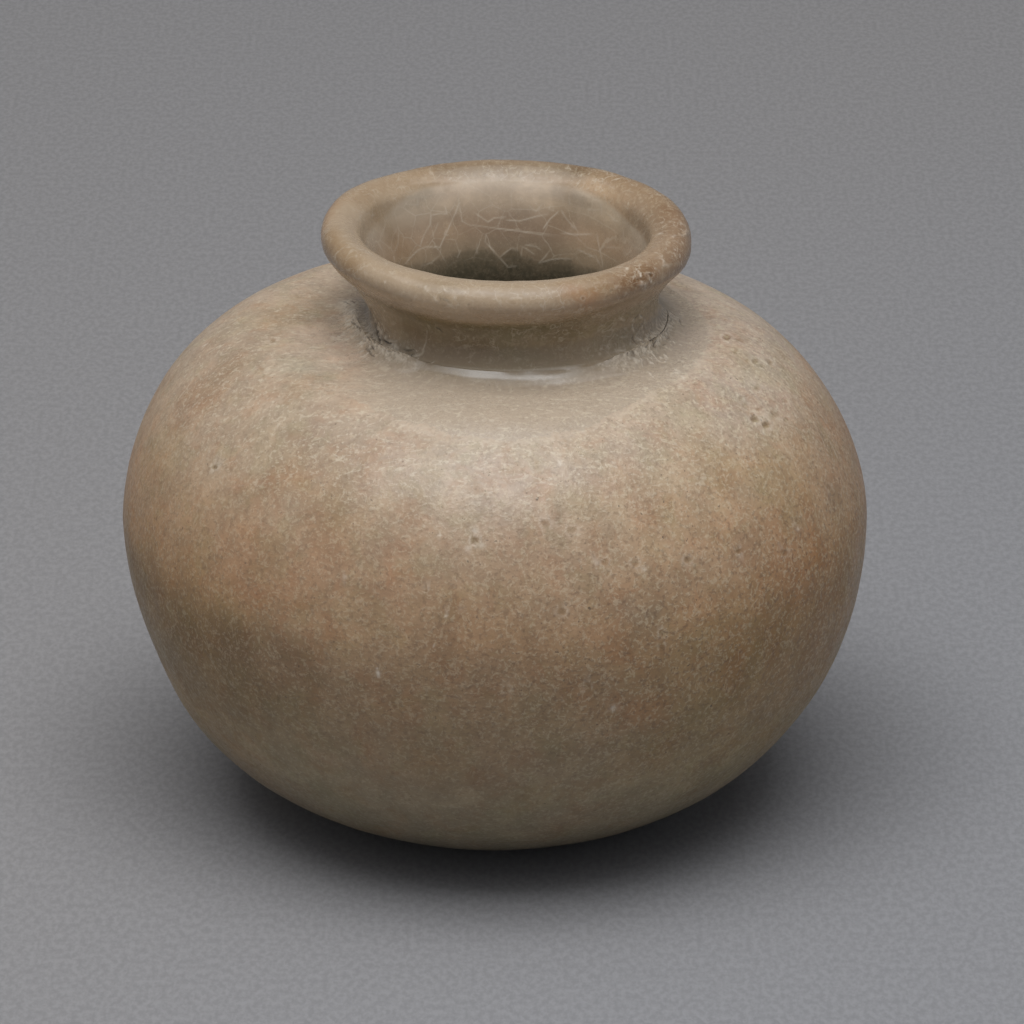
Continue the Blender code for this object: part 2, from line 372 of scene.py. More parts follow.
# Lines on the surface: pixels of the frame, half width in mm, height in mm (below 0 a groove), darkness, paleness
LINES = (
    # The crack beside the neck on the left, the flakes and ridges of crust round it
    (((371, 315), (373, 320), (376, 326), (380, 333), (386, 341), (390, 347), (391, 351)), 0.10, -0.26, 0.85, 0.0),
    (((370, 309), (374, 315), (378, 321), (383, 327)), 0.12, 0.05, 0.0, 0.35),
    (((387, 338), (390, 340), (394, 341.5), (398, 341.5)), 0.09, -0.15, 0.9, 0.0),
    (((389, 337), (394, 339.5), (400, 339.5), (405, 336)), 0.09, 0.06, 0.0, 0.45),
    (((428, 329), (429, 340), (427, 349), (420, 353), (412, 354), (406, 351)), 0.10, 0.07, 0.0, 0.45),
    (((374, 334), (376.5, 338), (376.5, 344), (374, 349)), 0.13, 0.13, 0.0, 1.0),
    (((368, 335), (367, 340), (369, 344)), 0.11, 0.10, 0.0, 0.8),
    (((371, 337), (372, 341)), 0.10, -0.12, 0.7, 0.0),
    (((369, 351), (373, 354), (379, 354), (383, 353)), 0.15, 0.14, 0.0, 0.9),
    (((385, 355), (388, 352.5), (391, 353)), 0.12, 0.12, 0.0, 0.9),
    (((389, 343), (393, 346), (397, 345), (400, 349), (397, 352)), 0.11, 0.12, 0.0, 0.7),
    (((391, 348), (395, 351), (401, 352)), 0.08, -0.12, 0.7, 0.0),
    (((404, 352), (406, 356), (410, 357)), 0.12, -0.16, 0.8, 0.0),
    (((386, 358), (390, 362), (388, 366)), 0.10, 0.10, 0.0, 0.6),
    (((395, 360), (399, 363), (403, 361), (402, 365), (396, 367)), 0.10, 0.10, 0.0, 0.6),
    (((398, 369), (404, 370.5), (410, 369)), 0.09, 0.06, 0.0, 0.5),
    (((412, 358), (416, 362), (416, 367)), 0.08, 0.05, 0.0, 0.35),
    (((344, 318), (350, 321), (356, 322), (360, 327)), 0.10, 0.08, 0.0, 0.35),
    (((341, 329), (345, 326), (351, 327), (357, 331), (361, 336)), 0.09, -0.12, 0.55, 0.0),
    (((345, 334), (350, 338), (355, 341)), 0.10, 0.07, 0.0, 0.4),
    (((346, 303), (347, 310), (349, 316)), 0.10, 0.06, 0.0, 0.3),
    (((334, 357), (333, 362), (335, 367)), 0.09, 0.04, 0.0, 0.35),
    (((368, 353), (371, 358), (376, 362)), 0.08, -0.10, 0.5, 0.0),
    (((435, 327), (439, 328.5), (444, 332)), 0.08, -0.08, 0.6, 0.0),
    (((430, 367), (434, 366), (436, 363)), 0.07, -0.06, 0.5, 0.0),
    (((440, 357), (438, 362), (436, 368)), 0.07, 0.04, 0.0, 0.35),
    # The crack beside the neck on the right
    (((661, 314), (661, 319), (661.5, 325), (659, 331), (656, 337), (652, 341), (648, 341.5)), 0.13, -0.34, 0.95, 0.0),
    (((650, 341), (648, 338)), 0.08, -0.12, 0.8, 0.0),
    (((648, 342), (644, 342.5), (640, 344), (637, 348)), 0.12, -0.24, 0.9, 0.0),
    (((645, 347), (641, 350.5)), 0.12, -0.20, 0.9, 0.0),
    (((640, 352), (638, 354)), 0.11, -0.16, 0.8, 0.0),
    (((633, 351), (631, 357)), 0.13, -0.18, 0.8, 0.0),
    (((634, 345), (638, 341.5), (643, 340), (648, 337)), 0.10, 0.10, 0.0, 0.55),
    (((641, 323), (635, 328), (631, 334), (630, 341), (633, 347)), 0.10, 0.08, 0.0, 0.35),
    (((628, 333), (627, 338), (629, 343)), 0.10, -0.08, 0.4, 0.0),
    (((633, 353), (637, 356), (641, 354), (645, 350)), 0.14, 0.14, 0.0, 0.9),
    (((627, 351), (631, 349.5)), 0.10, 0.08, 0.0, 0.7),
    (((616, 350), (617, 357), (621, 362), (628, 367)), 0.10, 0.09, 0.0, 0.5),
    (((617, 359), (621, 364), (626, 368)), 0.11, -0.14, 0.6, 0.0),
    (((639, 365), (643, 369)), 0.10, 0.08, 0.0, 0.6),
    (((647, 371), (652, 376), (655, 379)), 0.09, 0.06, 0.0, 0.7),
    (((602, 366), (606, 367)), 0.09, -0.12, 0.7, 0.0),
    (((612, 326), (616, 321), (622, 318), (628, 314)), 0.09, 0.04, 0.0, 0.3),
    (((664, 345), (668, 343), (671, 345)), 0.07, -0.07, 0.6, 0.0),
    (((662, 351), (666, 349)), 0.07, -0.07, 0.6, 0.0),
    # Scratches on the right
    (((829, 441), (834, 450), (837, 458)), 0.08, -0.03, 0.0, 0.5),
    (((834, 446), (840, 456)), 0.07, -0.03, 0.0, 0.4),
    (((826, 452), (831, 464)), 0.07, -0.03, 0.0, 0.35),
)
# Where curls of crust lie: pixels of a path, spread in pixels, how many, strength
CURLS = (
    (((346, 302), (349, 318), (358, 330), (370, 340), (383, 353), (398, 363), (416, 366)), 3.6, 46, 1.0),
    (((372, 338), (378, 350), (392, 360)), 4.0, 16, 1.0),
    (((394, 344), (408, 352), (424, 350)), 4.0, 9, 1.0),
    (((668, 326), (660, 344), (644, 352), (630, 358), (620, 368)), 4.5, 30, 1.0),
    (((636, 346), (640, 354)), 3.0, 10, 1.0),
    (((640, 300), (630, 330), (616, 345)), 6.0, 6, 0.8),
    (((604, 298), (636, 281), (664, 262)), 6.0, 14, 0.45),
    (((664, 215), (676, 236), (668, 254)), 5.0, 8, 0.40),
    (((430, 294), (460, 298)), 4.0, 5, 0.45),
)
# Places where the outline swells or sinks: pixel, half width in mm, height in mm
SWELLS = (
    (191, 718, 7.0, 0.40), (812, 695, 8.0, 0.22), (706, 287, 5.0, -0.28), (238, 318, 9.0, 0.10), (560, 700, 12.0, -0.12),
    (345, 276, 3.0, 0.12), (420, 500, 11.0, 0.10), (640, 560, 10.0, -0.10),
)
# Craze lines in the glaze of the mouth and throat: strength, then pixels of the frame
CRAZE = (
    (1.0, (458, 193), (459, 203), (456, 212), (452, 220), (447, 232), (443, 240), (440, 247), (425, 247), (417, 251), (410, 258), (404, 265)),
    (1.0, (459, 203), (461, 213), (462, 221), (469, 225), (480, 226), (490, 227.5), (510, 230), (520, 231), (545, 234), (560, 236)),
    (0.9, (431, 213), (430, 225), (426, 231), (422, 240), (420, 247)),
    (0.8, (417, 197), (418, 206)),
    (0.6, (405, 197), (417, 197.5), (428, 197)),
    (0.6, (404, 204), (418, 205)),
    (0.9, (431, 215), (441, 213.5), (447, 214), (445, 206)),
    (0.7, (438, 223), (435, 231), (431, 238)),
    (0.7, (447, 229), (444, 235), (449, 235)),
    (0.6, (399, 231), (398, 244), (394, 253)),
    (0.5, (387, 214), (385, 226), (382, 238)),
    (0.4, (451, 234), (462, 234)),
    (0.8, (441, 248), (440, 255), (432, 262), (421, 267)),
    (0.6, (461, 250), (457, 258)),
    (0.6, (477, 243), (477, 254)),
    (1.0, (486, 243), (493, 250), (499, 257), (508, 267), (517, 266)),
    (1.0, (499, 258), (506, 252), (511, 248.5), (518, 249)),
    (0.9, (475, 213), (482, 218), (488, 222), (494, 218), (506, 217)),
    (0.6, (486, 235), (485, 243)),
    (1.0, (506, 220), (519, 221), (527, 219), (536, 216.5), (548, 214)),
    (0.6, (528, 205), (536, 211.5), (543, 203)),
    (0.6, (516, 199), (520, 198), (524, 201)),
    (0.7, (551, 204), (549, 209), (554, 211), (552, 206)),
    (1.0, (559, 211), (550, 219), (543, 229)),
    (1.0, (561, 210), (565, 217), (570, 223), (575, 229)),
    (0.9, (561, 233), (576, 234.5), (593, 234)),
    (0.9, (597, 233), (597.5, 239), (599, 246), (600, 252), (602, 260), (603, 268)),
    (0.8, (525, 245), (536, 246.5), (541, 250)),
    (0.7, (521, 246), (528, 250), (535, 255)),
    (0.8, (522, 248), (521, 256)),
    (0.9, (550, 250), (545, 257), (539, 263), (551, 259.5), (561, 258.5), (572, 259)),
    (0.8, (577, 249), (585, 253), (595, 258)),
    (0.6, (588, 210), (601, 209.5)),
    (0.8, (601, 203), (602, 214)),
    (0.7, (605, 211.5), (613, 219), (618, 222)),
    (0.6, (623, 231), (624, 241)),
    (0.7, (622, 249), (627, 255), (631, 250)),
    (0.5, (630, 226), (633, 232)),
    (0.4, (602, 247), (621, 248)),
    (0.6, (569, 195), (570, 205)),
    (0.5, (601, 184), (601, 191)),
    (0.5, (606, 195), (607, 204)),
    (0.5, (371, 209), (372, 222)),
    (0.5, (358, 216), (361, 228)),
)
# Where the throat's glaze turns dark, along the craze cells
DARK_EDGE = (
    (404, 268), (413, 266), (424, 263), (434, 261), (443, 258), (455, 254), (466, 251), (477, 249), (486, 249),
    (493, 252), (499, 258), (506, 252), (512, 249), (518, 250), (522, 257), (529, 256), (536, 263), (545, 259.5),
    (556, 258.5), (571, 259), (575, 265), (584, 268), (596, 270),
)
# Mounds of luting clay pressed against the neck: pixels of a path, half width in mm, height in mm, paleness
MOUNDS = (
    (((349, 306), (355, 318), (364, 331), (377, 344), (392, 356), (412, 367)), 1.35, 0.60, 0.85),
    (((663, 318), (657, 333), (646, 346), (633, 357), (616, 367)), 1.45, 0.60, 0.95),
)
# Crust patches: pixel, half width in mm, strength
CRUSTS = (
    (382, 342, 3.4, 0.75), (353, 330, 2.4, 0.7), (397, 360, 2.2, 0.75), (375, 351, 2.0, 1.0), (409, 362, 1.6, 0.5),
    (644, 343, 2.6, 0.8), (636, 354, 1.8, 1.0), (625, 362, 2.0, 0.7), (655, 362, 2.6, 0.45), (664, 345, 1.4, 0.5),
    (646, 279, 1.6, 0.20),
)
# Shallow pits and dark dots in the glaze: pixel, half width in mm, depth in mm, darkness
PITS = (
    (727, 337, 0.42, 0.17, 0.75), (738, 340, 0.22, 0.08, 0.6), (735, 352, 0.34, 0.09, 0.35), (758, 343, 0.26, 0.05, 0.3),
    (755, 361, 0.34, 0.09, 0.6), (770, 362, 0.30, 0.08, 0.6), (747, 360, 0.20, 0.05, 0.4), (762, 366, 0.22, 0.06, 0.4),
    (757, 388, 0.36, 0.07, 0.4), (740, 398, 0.26, 0.06, 0.4), (745, 405, 0.30, 0.07, 0.4), (755, 419, 0.42, 0.13, 0.85),
    (766, 425, 0.42, 0.14, 0.9), (786, 420, 0.30, 0.06, 0.4), (785, 401, 0.28, 0.06, 0.4), (758, 409, 0.24, 0.05, 0.4),
    (475, 541, 0.42, 0.08, 0.75), (215, 467, 0.26, 0.06, 0.8), (560, 518, 0.13, 0.04, 0.9), (546, 524, 0.42, 0.03, 0.5),
    (572, 530, 0.46, 0.03, 0.45), (605, 562, 0.36, 0.04, 0.45), (636, 563, 0.38, 0.05, 0.5), (608, 574, 0.26, 0.04, 0.4),
    (688, 560, 0.36, 0.05, 0.6), (738, 551, 0.30, 0.05, 0.75), (784, 553, 0.34, 0.05, 0.5), (798, 521, 0.34, 0.04, 0.3),
    (562, 611, 0.42, 0.02, 0.5), (663, 633, 0.36, 0.03, 0.5), (662, 645, 0.28, 0.02, 0.4), (588, 686, 0.34, 0.02, 0.4),
    (506, 690, 0.34, 0.02, 0.35), (426, 591, 0.16, 0.03, 0.7), (394, 633, 0.16, 0.03, 0.6), (828, 487, 0.22, 0.03, 0.5),
    (273, 341, 0.30, 0.05, 0.5), (261, 370, 0.34, 0.03, 0.4), (582, 298, 0.16, 0.02, 0.5), (650, 275, 0.22, 0.04, 0.6),
    (279, 699, 0.16, 0.03, 0.6), (665, 233, 0.16, 0.02, 0.3), (774, 414, 0.52, 0.05, 0.35),
)
# Pale specks and halos: pixel, half width in mm, paleness
SPECKS = (
    (378, 673, 0.24, 0.9), (377, 669, 0.16, 0.7), (613, 708, 0.30, 0.6), (205, 346, 0.14, 0.9), (455, 297, 0.12, 0.4),
    (386, 282, 0.12, 0.5), (660, 234, 0.20, 0.6), (675, 250, 0.16, 0.5), (461, 609, 0.14, 0.6), (446, 616, 0.16, 0.6),
    (475, 531, 0.34, 0.5), (482, 545, 0.34, 0.45), (468, 548, 0.34, 0.45), (597, 563, 0.34, 0.35), (644, 569, 0.40, 0.4),
    (798, 529, 0.30, 0.4), (560, 463, 0.42, 0.4), (440, 535, 0.16, 0.5), (345, 577, 0.30, 0.35), (434, 646, 0.12, 0.5),
)
# Stains, with painted highlights, painted light and painted shade among them: pixels of a trail, half width in mm, what
# the colour is multiplied by, strength, raggedness
STAINS_AND_PAINTED_LIGHT = (
    (((330, 462), (340, 480), (333, 505)), 3.6, (0.80, 0.82, 0.76), 0.75, 0.5),
    (((300, 425), (380, 440)), 2.6, (0.86, 0.85, 0.84), 0.5, 0.6),
    (((262, 492), (278, 510)), 2.6, (0.90, 1.02, 1.12), 0.5, 0.6),
    (((238, 488), (258, 482), (276, 474)), 0.9, (1.02, 0.80, 0.74), 0.55, 0.5),
    (((212, 475), (218, 460)), 1.5, (0.98, 1.05, 1.10), 0.5, 0.4),
    (((235, 565), (262, 590)), 3.4, (1.06, 0.90, 0.84), 0.45, 0.7),
    (((228, 640), (265, 668), (300, 668)), 3.4, (0.84, 0.80, 0.82), 0.65, 0.6),
    (((250, 690), (290, 705)), 2.4, (0.92, 0.98, 0.82), 0.4, 0.6),
    (((330, 640), (350, 615)), 2.0, (0.84, 0.84, 0.80), 0.5, 0.8),
    (((395, 605), (450, 600), (470, 632), (440, 655)), 2.2, (0.90, 0.82, 0.76), 0.5, 0.8),
    (((310, 650), (300, 665), (312, 690)), 1.6, (0.88, 0.76, 0.66), 0.4, 0.7),
    (((385, 690), (396, 735)), 1.8, (0.96, 0.86, 0.80), 0.4, 0.7),
    (((560, 500), (592, 508)), 1.5, (0.88, 0.90, 0.72), 0.5, 0.5),
    (((600, 487), (630, 470)), 1.6, (1.04, 0.90, 0.82), 0.4, 0.6),
    (((628, 612), (640, 618), (655, 612)), 1.5, (0.70, 0.76, 0.84), 0.75, 0.7),
    (((622, 640), (634, 637), (642, 628)), 1.3, (0.74, 0.82, 0.86), 0.6, 0.7),
    (((655, 508), (700, 520), (735, 545)), 2.6, (0.98, 0.86, 0.80), 0.45, 0.7),
    (((690, 430), (730, 470)), 3.2, (0.94, 0.92, 0.80), 0.5, 0.6),
    (((700, 600), (735, 625), (700, 645)), 2.6, (1.10, 1.08, 1.10), 0.5, 0.6),
    (((610, 702), (650, 715), (600, 735)), 2.4, (1.08, 1.04, 1.12), 0.45, 0.6),
    (((655, 748), (680, 728), (700, 712)), 1.7, (0.78, 0.84, 0.78), 0.6, 0.5),
    (((735, 652), (770, 640), (800, 622)), 1.8, (0.92, 0.88, 0.68), 0.5, 0.5),
    (((520, 715), (560, 745), (540, 700)), 2.4, (0.86, 0.90, 0.86), 0.5, 0.7),
    (((545, 655), (590, 680)), 2.2, (0.88, 0.84, 0.78), 0.5, 0.7),
    (((812, 535), (815, 552)), 1.6, (1.04, 0.84, 0.68), 0.5, 0.6),
    (((745, 655), (735, 685)), 1.8, (1.02, 0.88, 0.86), 0.4, 0.6),
    (((780, 405), (787, 400)), 1.2, (1.04, 0.88, 0.88), 0.4, 0.4),
    (((737, 352), (765, 375)), 1.8, (0.96, 0.98, 0.80), 0.45, 0.5),
    # Painted sheen: a paler, bluer lift over the middle of the belly's highlight
    (((470, 455), (540, 470), (500, 500)), 3.6, (1.04, 1.05, 1.12), 0.6, 0.6),
    (((470, 610), (520, 640)), 2.8, (0.92, 0.90, 0.80), 0.45, 0.8),
    (((418, 568), (470, 560)), 2.4, (0.98, 1.02, 1.02), 0.4, 0.8),
    # The lip: thin glaze burnt brown along its edges, darker on the right. Among these are painted shade and painted
    # highlights on the lip, and painted shade at the foot of the neck
    (((323, 246), (322, 232), (326, 216), (335, 203)), 1.0, (0.92, 0.74, 0.58), 0.7, 0.5),
    (((326, 250), (332, 262), (345, 276), (362, 288)), 1.2, (0.74, 0.66, 0.56), 0.75, 0.6),
    (((345, 268), (372, 284), (400, 296)), 0.8, (0.86, 0.78, 0.66), 0.5, 0.7),
    (((410, 168), (450, 165), (520, 163), (590, 167)), 1.0, (0.72, 0.66, 0.60), 0.8, 0.5),
    (((350, 198), (400, 178), (440, 174)), 1.6, (0.86, 0.80, 0.74), 0.7, 0.6),
    (((580, 172), (620, 182), (650, 195), (672, 212)), 2.0, (0.82, 0.76, 0.68), 0.8, 0.6),
    (((676, 215), (684, 232), (678, 252)), 2.4, (0.78, 0.68, 0.62), 0.85, 0.5),
    (((668, 258), (645, 272), (615, 284)), 1.8, (0.80, 0.72, 0.66), 0.8, 0.6),
    (((650, 275), (640, 280), (625, 286)), 0.9, (0.76, 0.66, 0.57), 0.6, 0.7),
    (((570, 291), (592, 298)), 1.0, (1.06, 0.84, 0.70), 0.6, 0.6),
    (((560, 292), (600, 286)), 1.8, (0.90, 0.84, 0.78), 0.6, 0.6),
    (((480, 312), (560, 312), (600, 300)), 1.2, (0.94, 0.82, 0.70), 0.5, 0.8),
    (((328, 236), (338, 252), (352, 266)), 1.6, (0.79, 0.71, 0.60), 0.95, 0.4),
    (((622, 285), (640, 277), (648, 272)), 1.3, (0.80, 0.73, 0.64), 0.75, 0.5),
    (((585, 289), (612, 283)), 1.4, (0.90, 0.87, 0.79), 0.7, 0.5),
    # Painted shade on the top of the lip's front
    (((425, 286), (455, 289)), 1.4, (0.79, 0.78, 0.75), 0.8, 0.6),
    # Painted shade on the top of the lip at the back, then a painted highlight inside the lip below it
    (((440, 171), (490, 169), (545, 169), (582, 174)), 1.1, (0.72, 0.725, 0.72), 0.85, 0.4),
    (((440, 190), (490, 187), (550, 187), (590, 192)), 1.3, (1.22, 1.20, 1.22), 0.9, 0.4),
    (((396, 200), (440, 196), (500, 195), (545, 194)), 1.3, (1.18, 1.17, 1.15), 0.8, 0.5),
    # Painted light in the shaded hollow inside the lip on the right
    (((604, 200), (624, 208)), 1.4, (1.24, 1.22, 1.20), 0.8, 0.5),
    (((655, 214), (667, 228)), 1.5, (0.84, 0.82, 0.78), 0.8, 0.5),
    # Painted shade on the top of the lip at the back right, then painted light in the shaded hollow inside it
    (((560, 171), (598, 177)), 1.2, (0.86, 0.87, 0.87), 0.8, 0.5),
    (((592, 190), (606, 200), (616, 212)), 1.7, (1.38, 1.40, 1.40), 0.8, 0.4),
    # Painted shade on the top of the lip's front
    (((488, 288), (530, 289), (572, 287)), 1.0, (0.89, 0.88, 0.87), 0.8, 0.4),
    (((632, 282), (646, 275)), 0.9, (0.84, 0.78, 0.68), 0.8, 0.5),
    # Painted shade at the foot of the neck, over the left end of its highlight
    (((424, 367), (452, 370)), 0.7, (0.76, 0.76, 0.77), 0.8, 0.5),
    (((350, 285), (362, 292), (376, 298)), 1.0, (0.80, 0.78, 0.74), 0.8, 0.5),
    # Painted highlight and painted light on the lip's front, below its crest and along its lower edge
    (((420, 300), (440, 303), (465, 306)), 0.9, (1.22, 1.19, 1.14), 0.8, 0.5),
    (((425, 319), (460, 322), (520, 323)), 0.8, (1.20, 1.17, 1.12), 0.7, 0.5),
    # The neck and the shoulder beside it: painted shade on the neck under the lip, painted light on the shaded shoulder
    # and crust beside it
    # Painted shade on the neck under the lip, lighter towards its right
    (((418, 334), (440, 345), (478, 345)), 2.2, (0.68, 0.60, 0.50), 0.8, 0.5),
    (((560, 338), (575, 330)), 1.6, (0.86, 0.82, 0.76), 0.7, 0.5),
    (((545, 346), (582, 342)), 2.0, (1.16, 1.13, 1.08), 0.8, 0.6),
    # Painted light on the shaded shoulder left of the neck, then paler crust on both mounds, lifted further as painted
    # light
    (((345, 356), (330, 344), (320, 334)), 3.0, (1.34, 1.31, 1.33), 0.85, 0.5),
    (((348, 322), (360, 336), (372, 346), (386, 354)), 1.1, (1.40, 1.36, 1.30), 0.85, 0.5),
    (((636, 340), (650, 342), (642, 355)), 1.1, (1.28, 1.26, 1.27), 0.85, 0.5),
    (((400, 357), (414, 362)), 0.9, (0.84, 0.84, 0.85), 0.8, 0.5),
    (((608, 364), (622, 362)), 0.9, (0.86, 0.86, 0.86), 0.8, 0.5),
    # Painted light on the shoulder right of the neck
    (((680, 346), (694, 338)), 2.4, (1.12, 1.11, 1.14), 0.7, 0.5),
    (((290, 388), (310, 370), (322, 394)), 3.5, (1.0, 1.08, 1.13), 0.8, 0.6),
    # Pale lumps and dark gaps of the crust
    (((365, 332), (371, 340)), 0.50, (1.42, 1.40, 1.36), 0.9, 0.3),
    (((376, 348), (386, 352)), 0.50, (1.36, 1.34, 1.30), 0.9, 0.3),
    (((391, 360), (399, 361)), 0.40, (1.30, 1.28, 1.25), 0.9, 0.3),
    (((347, 320), (353, 327)), 0.45, (1.26, 1.25, 1.24), 0.8, 0.3),
    (((646, 337), (639, 346)), 0.50, (1.34, 1.33, 1.34), 0.9, 0.3),
    (((634, 353), (627, 360)), 0.45, (1.26, 1.26, 1.24), 0.9, 0.3),
    (((374, 323), (379, 333), (386, 342)), 0.30, (0.60, 0.59, 0.60), 0.9, 0.3),
    (((402, 351), (408, 353)), 0.35, (0.66, 0.65, 0.66), 0.9, 0.3),
    (((641, 341), (634, 349)), 0.22, (0.55, 0.54, 0.56), 0.9, 0.3),
    # The belly, high on the left and on the right
    (((215, 392), (250, 350), (290, 320)), 4.5, (0.93, 0.91, 0.88), 0.8, 0.6),
    (((395, 540), (465, 545)), 5.0, (0.91, 0.89, 0.88), 0.7, 0.6),
    (((650, 540), (715, 545)), 5.0, (1.10, 1.09, 1.06), 0.7, 0.6),
    (((270, 515), (330, 525)), 4.5, (0.97, 0.88, 0.80), 0.7, 0.6),
    (((165, 595), (205, 610)), 3.2, (1.10, 1.10, 1.09), 0.7, 0.6),
    (((480, 638), (530, 648)), 4.5, (0.92, 0.88, 0.87), 0.7, 0.6),
    (((680, 455), (720, 462)), 4.0, (0.94, 0.89, 0.84), 0.7, 0.6),
    (((204, 396), (226, 368)), 3.2, (0.84, 0.81, 0.78), 0.8, 0.5),
    (((300, 440), (350, 470), (385, 455)), 3.4, (0.92, 0.86, 0.84), 0.7, 0.6),
    (((690, 468), (760, 480), (800, 470)), 5.0, (1.10, 1.09, 1.02), 0.8, 0.6),
    # Painted shade in the groove under the lip
    (((384, 306), (428, 323), (480, 331), (545, 328), (595, 314), (645, 296)), 1.0, (0.80, 0.78, 0.70), 0.8, 0.5),
    # Darker glaze at the back of the throat
    (((462, 216), (500, 226), (545, 226)), 3.4, (0.82, 0.80, 0.78), 0.9, 0.5),
    (((500, 198), (520, 204)), 2.2, (0.86, 0.86, 0.86), 0.7, 0.6),
    (((450, 231), (464, 239)), 1.7, (1.32, 1.32, 1.28), 0.7, 0.5),
    (((376, 214), (390, 232), (402, 252)), 2.2, (0.86, 0.80, 0.71), 0.8, 0.4),
    (((566, 214), (600, 222), (618, 236)), 2.8, (0.84, 0.79, 0.71), 0.8, 0.5),
)

# ---------------------------------------------------------------- the fine mesh


def curls(rng):
    """Short bent ridges of pale crust, scattered along the paths."""
    for path, spread, count, strength in CURLS:
        for _ in range(count):
            place = rng.uniform(0.0, len(path) - 1.001)
            k, share = int(place), place % 1.0
            x = path[k][0] * (1.0 - share) + path[k + 1][0] * share + rng.normal(0.0, spread)
            y = path[k][1] * (1.0 - share) + path[k + 1][1] * share + rng.normal(0.0, 0.7 * spread)
            heading, bend = rng.uniform(0.0, 2.0 * math.pi), rng.uniform(-0.65, 0.65)
            pixels = [(x, y)]
            for _ in range(int(rng.integers(3, 7))):
                heading += bend
                x, y = x + 2.0 * math.cos(heading), y + 1.6 * math.sin(heading)
                pixels.append((x, y))
            raised, share = rng.uniform() < 0.70, strength * rng.uniform(0.55, 1.0)
            if raised:
                yield trail(pixels), rng.uniform(0.11, 0.20), share * rng.uniform(0.14, 0.24), 0.0, share
            else:
                yield trail(pixels), rng.uniform(0.06, 0.10), -share * rng.uniform(0.10, 0.16), 0.85 * share, 0.0


LINE_TRAILS = [(trail(pixels), *rest) for pixels, *rest in LINES] + list(curls(np.random.default_rng(8)))
SWELL_SPOTS = [(spot(x, y), *rest) for x, y, *rest in SWELLS]
CRAZE_TRAILS = [(trail(pixels), strength) for strength, *pixels in CRAZE]
MOUND_TRAILS = [(trail(pixels), *rest) for pixels, *rest in MOUNDS]
CRUST_SPOTS = [(spot(x, y), *rest) for x, y, *rest in CRUSTS]
PIT_SPOTS = [(spot(x, y), *rest) for x, y, *rest in PITS]
SPECK_SPOTS = [(spot(x, y), *rest) for x, y, *rest in SPECKS]
STAIN_AND_PAINTED_LIGHT_TRAILS = [(trail(pixels, 8.0), *rest) for pixels, *rest in STAINS_AND_PAINTED_LIGHT]
COLLAR_S = [at_pixel(x, y)[1:] for x, y in ((300, 352), (340, 392), (400, 422), (455, 437), (520, 441), (580, 432), (620, 412), (655, 392), (705, 352))]


def edge_by_azimuth(found, spread, seed):
    """A height on the profile for each azimuth, through the given places, and wandering elsewhere."""
    turns = np.array([(a - FRONT) % (2.0 * math.pi) for _, a in found])
    heights = np.array([s for s, _ in found])
    order = np.argsort(turns)
    turns, heights = turns[order], heights[order]
    gaps = np.diff(np.append(turns, turns[0] + 2.0 * math.pi))
    start = int(np.argmax(gaps))  # the unseen stretch
    fill = np.linspace(0.0, 1.0, max(3, int(gaps[start] / spread)) + 1)[1:-1]
    rng = np.random.default_rng(seed)
    left, right = heights[start], heights[(start + 1) % len(heights)]
    extra = left + (right - left) * fill + rng.uniform(-1.0, 1.0, len(fill)) * heights.std()
    turns = np.concatenate([turns, (turns[start] + gaps[start] * fill) % (2.0 * math.pi)])
    heights = np.concatenate([heights, extra])
    order = np.argsort(turns)
    turns, heights = turns[order], heights[order]
    return lambda a: np.interp((a - FRONT) % (2.0 * math.pi), turns, heights, period=2.0 * math.pi)


def dark_edge():
    found = []
    for (x0, y0), (x1, y1) in zip(DARK_EDGE, DARK_EDGE[1:]):
        found += [at_pixel(x0 + (x1 - x0) * k / 4.0, y0 + (y1 - y0) * k / 4.0) for k in range(4)]
    return edge_by_azimuth([f[1:] for f in found if f[1] > CREST], 0.28, 3)


DARK_S = dark_edge()
COLLAR_EDGE = edge_by_azimuth(COLLAR_S, 0.5, 5)


def blurred(points, blur):
    """A smooth curve close to the given (place, height) points, level beyond them."""
    x = np.linspace(points[0][0] - 5.0, points[-1][0] + 5.0, 801)
    step = x[1] - x[0]
    kernel = np.exp(-0.5 * (np.arange(-60, 61) * step / blur) ** 2)
    level = np.interp(x, *zip(*points))
    level = np.convolve(np.pad(level, 60, "edge"), kernel / kernel.sum(), "valid")
    return lambda s: np.interp(s, x, level)


LUTING = blurred(
    (
        (96.0, 0.0), (103.0, 0.02), (104.8, 0.03), (105.3, 0.08), (105.8, 0.33), (106.2, 0.67), (106.6, 0.95), (107.0, 1.15),
        (107.4, 1.26), (107.8, 1.31), (108.3, 1.32), (108.9, 1.29), (109.5, 1.20), (110.4, 0.98), (111.5, 0.68), (112.5, 0.42),
        (114.0, 0.12), (116.5, 0.0),
    ),
    0.28,
)


